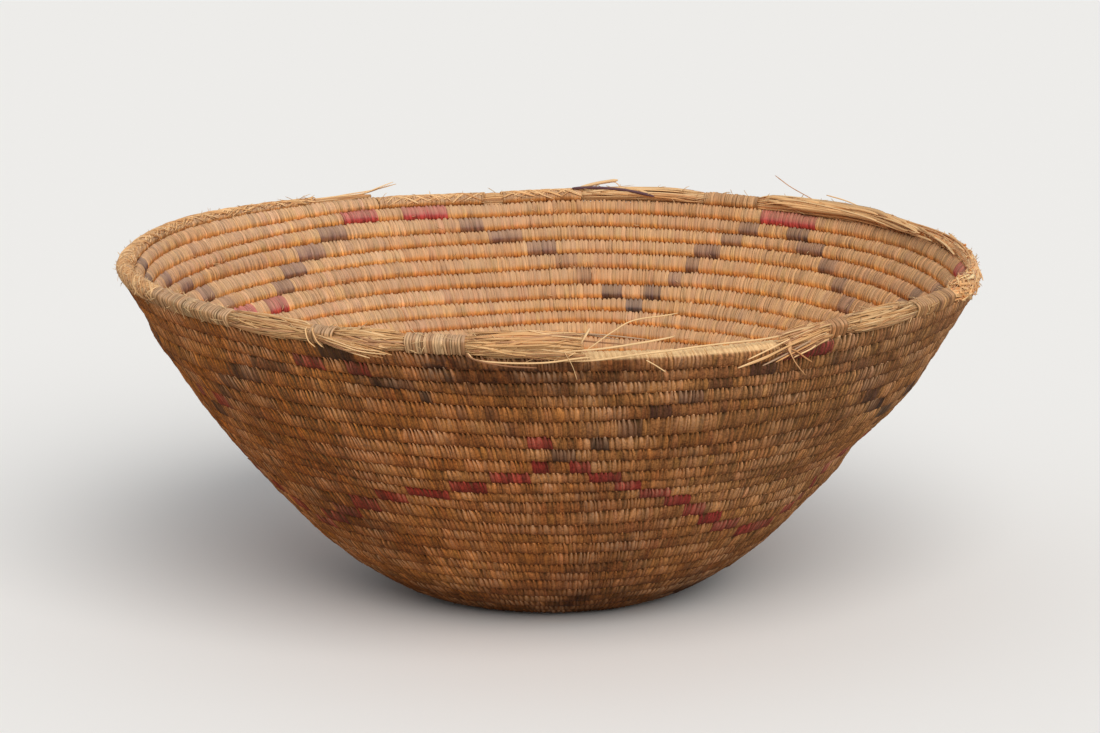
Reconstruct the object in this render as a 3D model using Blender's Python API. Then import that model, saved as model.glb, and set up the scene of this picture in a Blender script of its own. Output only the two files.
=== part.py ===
"""Harvesting basket: one coil of grass, wound in rounds from the foot to the rim and sewn round on round.

The bowl is a single spiral. Each round of it is a piece, and the last round is the rim, whose binding has
broken away: the bare bundle of stems shows there, held by the wraps that are left. Metres, +Z up.
"""
import math

import bmesh
import bpy
from mathutils import Vector

# The coil: the step from one round to the next along the wall, its thickness through the wall, and the seat
ROUND_PITCH = 0.01145
COIL_THICKNESS = 0.0106
SEAT_GAP = 0.0003
ROUNDS = 35

# The bowl's wall, from the flat foot outwards, with the radius of each bend
FOOT_RADIUS = 0.081
HEEL_RADIUS = 0.051
BELLY_RADIUS = 0.246
SHOULDER_RADIUS = 0.710

# How far the wall leans from upright on the foot and at the end of each bend
FOOT_LEAN = math.radians(90)
HEEL_LEAN = math.radians(62.6)
BELLY_LEAN = math.radians(44.5)
WALL_LEAN = math.radians(31.1)

# Where the coil ends on the rim, counted from +X, and the way it climbs: clockwise seen from above
COIL_END_ANGLE = math.radians(117)
CLIMB = -1

# The coil's end is thinned over this share of the last round, down to this share of its thickness
TAPER_SHARE = 0.28
TIP_SHARE = 0.4

# Where the last round has lost most of its stems: start and end in degrees along it, how far it thins out
# at either end, and the share of its thickness that is left
LOST_STEMS = (168, 204)
LOST_RAMP_DEGREES = 12
LEFT_SHARE = 0.35

# The rim: thickness of a wrap of leaf strip, and how far the bare bundle swells between two wraps
WRAP_THICKNESS = 0.0007
BUNDLE_SWELL = 0.0022
SWELL_RAMP_DEGREES = 7
BUNDLE_RIBS = 6
RIB_DEPTH_SHARE = 0.14

# Loose stems of grass
STEM_RADIUS = 0.0009
STEM_TIP_SHARE = 0.45
STEM_SIDES = 5

# Facets of a round: steps in a turn, on the small rounds of the foot and on the others
FOOT_STEPS = 15
WALL_STEPS = 30
FOOT_ROUNDS = 6

# Corners of a wall round's section and of a foot round's, as shares of half its thickness and half its pitch
WALL_SECTION_SHARES = ((1, 0), (0.5, 1), (-0.5, 1), (-1, 0), (-0.5, -1), (0.5, -1))
FOOT_SECTION_SHARES = ((1, 0.55), (0, 1), (-1, 0.5), (-1, -0.5), (0, -1), (1, -0.55))

# Wraps left on the rim: name, and where each starts and ends, in degrees along the last round
RIM_WRAPS = (
    ("rim_wrap_back_left", 0.6, 17),
    ("rim_wrap_back", 20, 32),
    ("rim_wrap_back_right", 51, 60),
    ("rim_wrap_right", 142, 153),
    ("rim_wrap_front_right", 167, 170.5),
    ("rim_wrap_front", 217, 224.5),
    ("rim_wrap_front_left", 234, 237.5),
    ("rim_wrap_left", 251, 350),
)

# Loose stems: where each leaves the bundle and ends, in degrees along the last round, the corner of the
# bundle's section that it is rooted on, counted from straight out of the bowl and upwards, and how far its
# free end stands off and drops, as shares of the coil's thickness
LOOSE_STEM_SHARES = {
    "loose_stem_front": (
        (216.5, 200, 11, 0.25, 0.45),
        (206, 175, 2, 0.5, -0.3),
        (214, 190, 5, 0.5, -0.3),
        (185, 203, 6, 0.4, -0.2),
    ),
    "tuft_stem": (
        (171.2, 178, 11, 0.9, 1.3),
        (171.3, 184, 0, 1.4, 2.0),
        (171.2, 183, 1, 1.8, 1.4),
        (171.3, 180, 2, 1.3, 0.8),
        (171.2, 177, 4, 0.5, -0.2),
    ),
    "frayed_stem_right": (
        (128, 112, 0, 0.8, 0),
        (124, 136, 11, 0.8, 0.7),
        (122, 106, 3, 0.3, 0.1),
    ),
    "loose_stem_back": (
        (66, 88, 2, 0.4, 0.1),
        (90, 110, 1, 0.4, 0),
    ),
    "frayed_stem_end": (
        (351.2, 364, 2, 0.3, -0.3),
        (351.2, 359, 4, 0.3, -0.2),
    ),
}

# Colour, roughness and metallic value of the pieces
STRAW_TONES = (
    (0.55, 0.34, 0.17), (0.50, 0.29, 0.13), (0.58, 0.37, 0.19), (0.47, 0.27, 0.12), (0.53, 0.31, 0.15))
STEM_TONE = (0.66, 0.49, 0.30)
WRAP_TONE = (0.62, 0.42, 0.23)
STRAW_ROUGHNESS = 0.75
STRAW_METALLIC = 0.0

FULL_TURN = 2 * math.pi
HALF_ACROSS = COIL_THICKNESS / 2
HALF_ALONG = (ROUND_PITCH - SEAT_GAP) / 2


def clear_scene():
    for thing in list(bpy.data.objects):
        bpy.data.objects.remove(thing, do_unlink=True)


def wall_frame(distance):
    """Radius, height and lean of the wall's middle line, at a distance along it from the foot's centre."""
    if distance < FOOT_RADIUS:
        return distance, HALF_ACROSS, FOOT_LEAN
    radius, height, lean = FOOT_RADIUS, HALF_ACROSS, FOOT_LEAN
    left = distance - FOOT_RADIUS
    bends = ((HEEL_RADIUS, HEEL_LEAN), (BELLY_RADIUS, BELLY_LEAN), (SHOULDER_RADIUS, WALL_LEAN))
    for bend, end_lean in bends:
        turned = min(left / bend, lean - end_lean)
        radius += bend * (math.cos(lean - turned) - math.cos(lean))
        height += bend * (math.sin(lean) - math.sin(lean - turned))
        lean -= turned
        left -= bend * turned
    return radius + left * math.sin(lean), height + left * math.cos(lean), lean


def stems_left(turn):
    """Share of the coil's thickness that its stems still fill: 1, and less where the last round is broken."""
    degrees = (turn - ROUNDS + 1) * 360
    into_loss = min(degrees - LOST_STEMS[0], LOST_STEMS[1] - degrees) / LOST_RAMP_DEGREES
    return 1 - (1 - LEFT_SHARE) * max(0.0, min(1.0, into_loss))


def thinning(turn):
    """Share of the full thickness that the coil has at a turn: less towards its end and where it is broken."""
    into_taper = (turn - ROUNDS + TAPER_SHARE) / TAPER_SHARE
    eased = max(0.0, min(1.0, into_taper)) ** 2
    return stems_left(turn) * (1 - (1 - TIP_SHARE) * eased)


def coil_angle(turn):
    return COIL_END_ANGLE + CLIMB * FULL_TURN * (turn - ROUNDS)


def coil_corner(turn, across, along):
    """A point on the coil: across the wall, outwards, and along it, both from the middle of the coil."""
    seated = ROUND_PITCH * turn - (1 - thinning(turn)) * HALF_ALONG
    radius, height, lean = wall_frame(seated + along)
    out = radius + across * math.cos(lean)
    angle = coil_angle(turn)
    return Vector((out * math.cos(angle), out * math.sin(angle), height - across * math.sin(lean)))


def coil_point(turn, across, along, steps=WALL_STEPS):
    """The same point on the faceted coil, whose facets lie straight between the steps of a turn."""
    before = math.floor(turn * steps) / steps
    share = (turn - before) * steps
    start = coil_corner(before, across, along)
    end = coil_corner(before + 1 / steps, across, along)
    return start.lerp(end, share)


def stations(first, last, steps, extra=()):
    """Turns at which a length of coil has a section: its ends, the steps between and any extra ones."""
    spare = 0.04 / steps
    count_from = math.floor(first * steps) + 1
    count_to = math.ceil(last * steps)
    between = [index / steps for index in range(count_from, count_to)]
    inner = [turn for turn in between + list(extra) if first + spare < turn < last - spare]
    kept = [first]
    for turn in sorted(inner):
        if turn - kept[-1] > spare:
            kept.append(turn)
    return kept + [last]


def straw_material(name, tone):
    material = bpy.data.materials.new(name)
    material.use_nodes = True
    shader = material.node_tree.nodes["Principled BSDF"]
    shader.inputs["Base Color"].default_value = (*tone, 1)
    shader.inputs["Roughness"].default_value = STRAW_ROUGHNESS
    shader.inputs["Metallic"].default_value = STRAW_METALLIC
    return material


def add_piece(name, outer, bore, tone, basket):
    """One object made of a row of rings of points, capped at both ends, or open to its bore's rings there."""
    mesh = bmesh.new()
    walls = [[[mesh.verts.new(point) for point in ring] for ring in rings] for rings in (outer, bore) if rings]
    for rings in walls:
        for ring, following in zip(rings, rings[1:]):
            for here in range(len(ring)):
                there = (here + 1) % len(ring)
                mesh.faces.new((ring[here], ring[there], following[there], following[here]))
    for end in (0, -1):
        if bore:
            outside, inside = walls[0][end], walls[1][end]
            for here in range(len(outside)):
                there = (here + 1) % len(outside)
                mesh.faces.new((outside[here], outside[there], inside[there], inside[here]))
        else:
            mesh.faces.new(walls[0][end])
    bmesh.ops.recalc_face_normals(mesh, faces=mesh.faces)
    data = bpy.data.meshes.new(name)
    mesh.to_mesh(data)
    mesh.free()
    data.shade_smooth()
    data.set_sharp_from_angle(angle=math.radians(30))
    data.materials.append(straw_material(name, tone))
    piece = bpy.data.objects.new(name, data)
    bpy.context.scene.collection.objects.link(piece)
    piece.parent = basket
    return piece


def add_coil_start(basket):
    """The curl that the coil starts from: a snail-shaped disc that fills the middle of the first round."""
    bottom, chamfered, top = [], [], []
    for step in range(FOOT_STEPS + 1):
        turn = 1 + step / FOOT_STEPS
        reach = ROUND_PITCH * (turn - 1) + HALF_ALONG - SEAT_GAP
        angle = coil_angle(turn)
        for ring, share, level in ((bottom, 1, 0), (chamfered, 1, HALF_ACROSS), (top, 0.9, COIL_THICKNESS)):
            out = reach * share
            ring.append(Vector((out * math.cos(angle), out * math.sin(angle), level)))
    step_back = SEAT_GAP / (ROUND_PITCH * 2)
    for ring, share in ((bottom, 1), (chamfered, 1), (top, 0.9)):
        reach = (ROUND_PITCH + HALF_ALONG - SEAT_GAP) * share
        angle = coil_angle(2 - step_back)
        ring[-1] = Vector((reach * math.cos(angle), reach * math.sin(angle), ring[-1].z))
    return add_piece("coil_start", [bottom, chamfered, top], None, STRAW_TONES[0], basket)


def add_round(number, basket):
    """One full turn of the coil, from the seam under its end to the next round's beginning."""
    on_foot = number <= FOOT_ROUNDS
    steps = FOOT_STEPS if on_foot else WALL_STEPS
    shares = FOOT_SECTION_SHARES if on_foot else WALL_SECTION_SHARES
    half_butt = SEAT_GAP / 2 / (FULL_TURN * ROUND_PITCH * (number + 0.5))
    rings = []
    for turn in stations(number + half_butt, number + 1 - half_butt, steps):
        ring = [coil_point(turn, HALF_ACROSS * across, HALF_ALONG * along, steps) for across, along in shares]
        rings.append(ring)
    tone = STRAW_TONES[number % len(STRAW_TONES)]
    return add_piece(f"coil_round_{number:02d}", rings, None, tone, basket)


def rim_turn(degrees):
    return ROUNDS - 1 + degrees / 360


def bundle_swell(degrees):
    """How far the bare bundle stands out at a place on the rim: nothing under a wrap, full well clear of it."""
    clear = min(
        max(start - degrees, degrees - end, 0) for _, start, end in RIM_WRAPS)
    after_last = max(0, degrees - RIM_WRAPS[-1][2])
    share = 0 if after_last else min(1, clear / SWELL_RAMP_DEGREES)
    return BUNDLE_SWELL * stems_left(rim_turn(degrees)) * math.sin(share * math.pi / 2)


def bundle_corner(degrees, corner, clear=0.0):
    """A corner of the bundle's section, or a point that far clear of it: ribbed, and swollen where unbound."""
    turn = rim_turn(degrees)
    thin = thinning(turn)
    cover = WRAP_THICKNESS + SEAT_GAP
    swell = bundle_swell(degrees)
    angle = FULL_TURN * corner / (2 * BUNDLE_RIBS)
    reach = 1 if corner % 2 == 0 else 1 - RIB_DEPTH_SHARE
    upward = swell if math.sin(angle) > 0 else 0
    across = ((HALF_ACROSS * thin - cover + swell) * reach + clear) * math.cos(angle)
    along = ((HALF_ALONG * thin - cover + upward) * reach + clear) * math.sin(angle)
    return coil_point(turn, across, along)


def bundle_ring(degrees):
    return [bundle_corner(degrees, corner) for corner in range(2 * BUNDLE_RIBS)]


def add_rim_bundle(basket):
    """The bare bundle of stems that runs the whole last round, inside the wraps that are left."""
    edges = []
    for _, start, end in RIM_WRAPS:
        edges += [start, end, start - SWELL_RAMP_DEGREES, end + SWELL_RAMP_DEGREES]
    half_butt = SEAT_GAP / 2 / (FULL_TURN * ROUND_PITCH * ROUNDS)
    first, last = ROUNDS - 1 + half_butt, ROUNDS - half_butt
    turns = stations(first, last, WALL_STEPS, [rim_turn(edge) for edge in edges])
    rings = [bundle_ring((turn - ROUNDS + 1) * 360) for turn in turns]
    return add_piece("rim_bundle", rings, None, STEM_TONE, basket)


def wrap_ring(turn, inset):
    """Section of a wrap, outside or bore: the full coil's outline, set in from its surface."""
    thin = thinning(turn)
    half_across, half_along = HALF_ACROSS * thin - inset, HALF_ALONG * thin - inset
    count = 2 * BUNDLE_RIBS
    ring = []
    for corner in range(count):
        angle = FULL_TURN * corner / count
        ring.append(coil_point(turn, half_across * math.cos(angle), half_along * math.sin(angle)))
    return ring


def add_rim_wrap(name, start, end, basket):
    """A stretch of leaf strip wound round the bundle: a sleeve with the bundle through its bore."""
    turns = stations(rim_turn(start), rim_turn(end), WALL_STEPS)
    outer = [wrap_ring(turn, 0) for turn in turns]
    bore = [wrap_ring(turn, WRAP_THICKNESS) for turn in turns]
    return add_piece(name, outer, bore, WRAP_TONE, basket)


def stem_rings(root, tip, corner, stand_off, drop):
    """A loose stem: rooted against the bundle, it runs along the rim, leaves it and thins to its tip."""
    first, last = sorted((rim_turn(root), rim_turn(tip)))
    turns = stations(first, last, WALL_STEPS * 2)
    if root > tip:
        turns.reverse()
    rings = []
    for turn in turns:
        travelled = (turn - turns[0]) / (turns[-1] - turns[0])
        clear = STEM_RADIUS + SEAT_GAP + COIL_THICKNESS * stand_off * travelled ** 2
        lowered = Vector((0, 0, COIL_THICKNESS * drop * travelled ** 2))
        middle = bundle_corner((turn - ROUNDS + 1) * 360, corner, clear) - lowered
        radius = STEM_RADIUS * (1 - (1 - STEM_TIP_SHARE) * travelled)
        angle = coil_angle(turn)
        outward = Vector((math.cos(angle), math.sin(angle), 0))
        upward = Vector((0, 0, 1))
        ring = []
        for side in range(STEM_SIDES):
            round_stem = FULL_TURN * side / STEM_SIDES
            ring.append(middle + radius * (math.cos(round_stem) * outward + math.sin(round_stem) * upward))
        rings.append(ring)
    return rings


def add_loose_stems(name, stems, basket):
    """The loose stems of one place on the rim, each a piece of its own."""
    return [
        add_piece(f"{name}_{count}", stem_rings(*stem), None, STEM_TONE, basket)
        for count, stem in enumerate(stems, 1)]


def stand_on_origin(basket, pieces):
    """Set the middle of the foot of the basket's outline on the origin."""
    points = [vertex.co for piece in pieces for vertex in piece.data.vertices]
    lowest = [min(point[axis] for point in points) for axis in range(3)]
    highest = [max(point[axis] for point in points) for axis in range(3)]
    basket.location = (-(lowest[0] + highest[0]) / 2, -(lowest[1] + highest[1]) / 2, -lowest[2])


def build():
    clear_scene()
    basket = bpy.data.objects.new("basket", None)
    bpy.context.scene.collection.objects.link(basket)
    pieces = [add_coil_start(basket)]
    for number in range(1, ROUNDS - 1):
        pieces.append(add_round(number, basket))
    pieces.append(add_rim_bundle(basket))
    for name, start, end in RIM_WRAPS:
        pieces.append(add_rim_wrap(name, start, end, basket))
    for name, stems in LOOSE_STEM_SHARES.items():
        pieces += add_loose_stems(name, stems, basket)
    stand_on_origin(basket, pieces)
    bpy.context.view_layer.update()


build()
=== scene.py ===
"""Harvesting basket: a coil of grass sewn round on round with leaf strip, with a worn and broken rim.

The CAD gives every round of the coil its place. Here each round gets its sewing: strips wound side by side,
pointed where they go in above, with painted shade in the grooves, dyed in steps. The rim gets its bare
stems.
"""
import math

import bpy
import numpy as np
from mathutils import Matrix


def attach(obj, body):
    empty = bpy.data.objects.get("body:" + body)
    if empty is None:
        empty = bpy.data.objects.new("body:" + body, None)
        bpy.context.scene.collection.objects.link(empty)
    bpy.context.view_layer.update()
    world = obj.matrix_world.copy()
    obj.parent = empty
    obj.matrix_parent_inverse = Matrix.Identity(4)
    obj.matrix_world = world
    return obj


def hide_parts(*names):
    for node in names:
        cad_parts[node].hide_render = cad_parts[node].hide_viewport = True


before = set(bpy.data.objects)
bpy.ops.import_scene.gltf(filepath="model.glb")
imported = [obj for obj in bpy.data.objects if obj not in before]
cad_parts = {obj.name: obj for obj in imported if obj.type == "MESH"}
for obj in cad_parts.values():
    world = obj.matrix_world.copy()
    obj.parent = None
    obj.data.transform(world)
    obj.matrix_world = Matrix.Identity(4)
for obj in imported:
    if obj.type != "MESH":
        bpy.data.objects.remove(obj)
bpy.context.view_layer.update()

# The coil, as the CAD has it
ROUND_PITCH = 0.01145
COIL_THICKNESS = 0.0106
SEAT_GAP = 0.0003
ROUNDS = 35
FOOT_RADIUS = 0.081
HEEL_RADIUS = 0.051
BELLY_RADIUS = 0.246
SHOULDER_RADIUS = 0.710
FOOT_LEAN = math.radians(90)
HEEL_LEAN = math.radians(62.6)
BELLY_LEAN = math.radians(44.5)
WALL_LEAN = math.radians(31.1)
BENDS = ((HEEL_RADIUS, HEEL_LEAN), (BELLY_RADIUS, BELLY_LEAN), (SHOULDER_RADIUS, WALL_LEAN))
COIL_END_DEGREES = 117
TAPER_SHARE = 0.28
TIP_SHARE = 0.4
LOST_STEMS = (168, 204)
LOST_RAMP_DEGREES = 12
LEFT_SHARE = 0.35
AXIS = (-0.00219, 0.002666)
HALF_ACROSS = COIL_THICKNESS / 2
HALF_ALONG = (ROUND_PITCH - SEAT_GAP) / 2

# The sewing: width of a strip, how unequal strips are, how far they lean, in widths from edge to edge of a
# row, how deep the grooves between them are, and where the first one lies
STRIP_WIDTH = 0.0031
STRIP_SPREAD = 0.24
STRIP_LIMITS = (0.55, 1.6)
LEAN_OUTSIDE = 0.7
LEAN_INSIDE = 0.5
GROOVE_DEPTH = 0.0009
INSIDE_GROOVE_GAIN = 0.35
STRIP_BULGE = 0.0002
START_TURN = 0.12
PATH_STEPS = 60001

# Section of the sewn coil, from the groove below, over the outside and down the inside: degrees round it,
# how deep the grooves between strips are there, how far the strips come to points, and how far those points
# rise onto the next row and stand out over it, in millimetres
SECTION = (
    (-82, 0.3, 0, 0, 0), (-66, 0.3, 0, 0, 0), (-48, 0.3, 0, 0, 0), (-26, 0.35, 0, 0, 0),
    (-4, 0.45, 0, 0, 0), (20, 0.7, 0.2, 0.1, 0), (40, 0.9, 0.6, 0.7, 0.45), (56, 1, 0.9, 1.5, 1.3),
    (70, 1.1, 1, 2.1, 2.3), (86, 0.9, 0.7, 1, 1.6), (104, 0.8, 0.1, 0.5, 0.2), (120, 0.75, 0.2, 0.9, 0.6),
    (136, 0.65, 0.1, 0.3, 0.3), (154, 0.6, 0, 0, 0), (174, 0.55, 0, 0, 0), (194, 0.5, 0, 0, 0),
    (212, 0.45, 0.1, 0, 0), (230, 0.4, 0.3, 0.3, 0.1), (247, 0.4, 0.6, 0.7, 0.3),
    (262, 0.35, 0.4, 0.4, 0.2),
)
SECTION_DEGREES = tuple(station[0] for station in SECTION)
UPPER_FULLNESS = 0.64
LOWER_FULLNESS = 0.5
INNER_FULLNESS = 0.7

# Rows of the real basket sit a little off their even places: drift in shares of the pitch, at these
# azimuths, by turn, and how uneven they are besides
DRIFT_TURNS = (10, *range(13, 36))
DRIFT_SHARES = {
    -150: (0, 0, 0, .05, .1, .1, .2, .1, .2, .25, .3, .2, .1, 0, -.1, -.15, -.1, 0, .1, .1, .05, 0, 0, -.05),
    -88: (0, -.1, .05, .12, .1, .28, .3, .28, .22, .4, .4, .14, .02, -.15, -.22, -.22, -.09, .15, .13, .11,
          -.02, -.14, -.08, 0),
    -20: (0, 0, .05, .1, .1, .2, .2, .2, .1, .2, .2, .1, 0, -.1, -.1, -.1, 0, .1, .1, .1, 0, -.05, 0, 0),
    82: (0, 0, 0, 0, .05, .1, .1, .1, .15, .2, .2, .25, .25, .12, 0, 0, .1, .2, .2, .18, .1, -.03,
         -.13, -.2),
    101: (0, 0, 0, 0, .05, .05, .1, .1, .1, .1, .05, .05, 0, -.03, -.1, -.17, -.1, -.1, -.04, -.06, -.14,
          -.26, -.4, -.45),
    125: (0, 0, 0, 0, 0, .05, .05, .1, .1, .1, .05, 0, 0, 0, -.05, -.1, -.05, 0, 0, 0, -.05, -.1, -.2, -.25),
}
UNEVEN_SHARE = 0.055

# How the bowl stands out from a true round, in metres: by how much, at what height and over what spread
RIGHT_DENTS = ((-0.0058, 0.112, 0.015), (-0.0012, 0.07, 0.03))
LEFT_BULGE = (0.0026, 0.186, 0.011)
LEFT_FLATNESS = 0.003
RIGHT_FULLNESS = 0.0036
UNTRUENESS = 0.0007


def degrees_to(turn):
    """Azimuth of the coil at a turn, in degrees from +X. It climbs clockwise seen from above."""
    return COIL_END_DEGREES - 360 * (turn - ROUNDS)


def under_rim(degrees):
    """Turn of the row under the rim, at so many degrees along the last round."""
    return ROUNDS - 2 + degrees / 360


def wall_at(distance):
    """Radius, height and lean of the wall's middle line at distances along it from the foot's centre."""
    distance = np.asarray(distance, float)
    radius = np.minimum(distance, FOOT_RADIUS)
    height = np.full_like(radius, HALF_ACROSS)
    lean = np.full_like(radius, FOOT_LEAN)
    left = np.maximum(distance - FOOT_RADIUS, 0)
    for bend, end_lean in BENDS:
        turned = np.minimum(left / bend, lean - end_lean)
        radius = radius + bend * (np.cos(lean - turned) - np.cos(lean))
        height = height + bend * (np.sin(lean) - np.sin(lean - turned))
        lean = lean - turned
        left = left - bend * turned
    return radius + left * np.sin(lean), height + left * np.cos(lean), lean


def smooth_step(low, high, value):
    """A smooth rise from 0 to 1, as a value goes from low to high."""
    share = np.clip((np.asarray(value, float) - low) / (high - low), 0, 1)
    return share * share * (3 - 2 * share)


def swelling(size, middle, spread, value):
    """A rounded swelling of a size about a middle."""
    return size * np.exp(-((value - middle) / spread) ** 2)


def travelled_along(path):
    """How far along a path each of its points is."""
    return np.concatenate([[0], np.cumsum(np.linalg.norm(np.diff(path, axis=0), axis=1))])


def stems_left(turn):
    """Share of the coil's thickness that its stems still fill: less where the last round is broken."""
    degrees = (turn - ROUNDS + 1) * 360
    into_loss = np.minimum(degrees - LOST_STEMS[0], LOST_STEMS[1] - degrees) / LOST_RAMP_DEGREES
    return 1 - (1 - LEFT_SHARE) * np.clip(into_loss, 0, 1)


def thinning(turn):
    """Share of its full thickness that the coil has: less towards its end and where it is broken."""
    turn = np.asarray(turn, float)
    eased = np.clip((turn - ROUNDS + TAPER_SHARE) / TAPER_SHARE, 0, 1) ** 2
    return stems_left(turn) * (1 - (1 - TIP_SHARE) * eased)


def ripple(seed, waves, lengths, first, second):
    """A gentle random swell over two measures, of which the first goes once round in 360 degrees."""
    chance = np.random.default_rng(seed)
    total = 0.0
    for _ in range(waves):
        around = chance.integers(1, 9)
        length = chance.uniform(*lengths)
        phase = np.radians(first) * around + second * 2 * math.pi / length
        total = total + np.sin(phase + chance.uniform(0, 6.3))
    return total / math.sqrt(waves / 2)


def row_drift(distance, azimuth):
    """How far the rows lie from their even places, up the wall, as a real sewn basket has them."""
    turn = distance / ROUND_PITCH
    azimuth = (np.asarray(azimuth) + 180) % 360 - 180
    places = sorted(DRIFT_SHARES)
    columns = [np.interp(turn, DRIFT_TURNS, DRIFT_SHARES[place]) for place in places]
    places = [places[-1] - 360, *places, places[0] + 360]
    columns = [columns[-1], *columns, columns[0]]
    drift = np.zeros(np.broadcast(turn, azimuth).shape)
    for place, following, column, next_column in zip(places, places[1:], columns, columns[1:]):
        share = smooth_step(place, following, azimuth)
        here = (azimuth >= place) & (azimuth < following)
        drift = np.where(here, column * (1 - share) + next_column * share, drift)
    uneven = UNEVEN_SHARE * ripple(5, 14, (2.6, 9), azimuth, turn)
    return ROUND_PITCH * (drift + uneven) * smooth_step(8, 13, turn)


def out_of_round(height, azimuth):
    """How far the bowl stands out from a true round: dented low on the right, flat at the far left."""
    on_right, on_left = (np.clip(side * np.cos(np.radians(azimuth)), 0, 1) ** 2 for side in (1, -1))
    dent = sum(swelling(*place, height) for place in RIGHT_DENTS)
    right_wall = RIGHT_FULLNESS * smooth_step(0.132, 0.155, height) * smooth_step(0.233, 0.214, height)
    left_wall = swelling(*LEFT_BULGE, height) - LEFT_FLATNESS * smooth_step(0.15, 0.23, height)
    gentle = UNTRUENESS * ripple(9, 8, (0.1, 0.3), azimuth, height) * smooth_step(0.02, 0.1, height)
    return on_right * (dent + right_wall) + on_left * left_wall + gentle


def basket_point(turn, across, along, twist=0.0):
    """Points on the coil: across the wall (outwards) and along it (upwards) from the coil's middle line."""
    turn, across, along, twist = np.broadcast_arrays(turn, across, along, twist)
    distance = ROUND_PITCH * turn - (1 - thinning(turn)) * HALF_ALONG + along
    azimuth = degrees_to(turn + twist)
    distance = distance + row_drift(distance, azimuth)
    radius, height, lean = wall_at(distance)
    out = radius + across * np.cos(lean) + out_of_round(height, azimuth)
    height = np.maximum(height - across * np.sin(lean), 0.0001)
    around = np.radians(azimuth)
    return np.stack([AXIS[0] + out * np.cos(around), AXIS[1] + out * np.sin(around), height], -1)


# Colours of the dry strip and stems, before dust, soil and painted light and shade (linear)
def srgb(red, green, blue):
    """A colour as a screen shows it, 0 to 255, as the linear values that a shader takes."""
    shares = [channel / 255 for channel in (red, green, blue)]
    return tuple(share / 12.92 if share <= 0.04045 else ((share + 0.055) / 1.055) ** 2.4 for share in shares)


STRAW_TONES = (
    srgb(224, 172, 116), srgb(220, 164, 106), srgb(228, 178, 127), srgb(212, 153, 97), srgb(222, 168, 112),
    srgb(232, 183, 127), srgb(212, 155, 110))
FRESH_TONE = srgb(230, 190, 138)
DYES = {
    "red": (srgb(200, 86, 90), srgb(188, 78, 82)),
    "brown": (srgb(138, 102, 94), srgb(124, 90, 84)),
    "dark": (srgb(90, 68, 76), srgb(80, 60, 66)),
    "blue": (srgb(82, 80, 98), srgb(76, 74, 90)),
    "faint": (srgb(176, 130, 98), srgb(166, 120, 90)),
}

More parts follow.
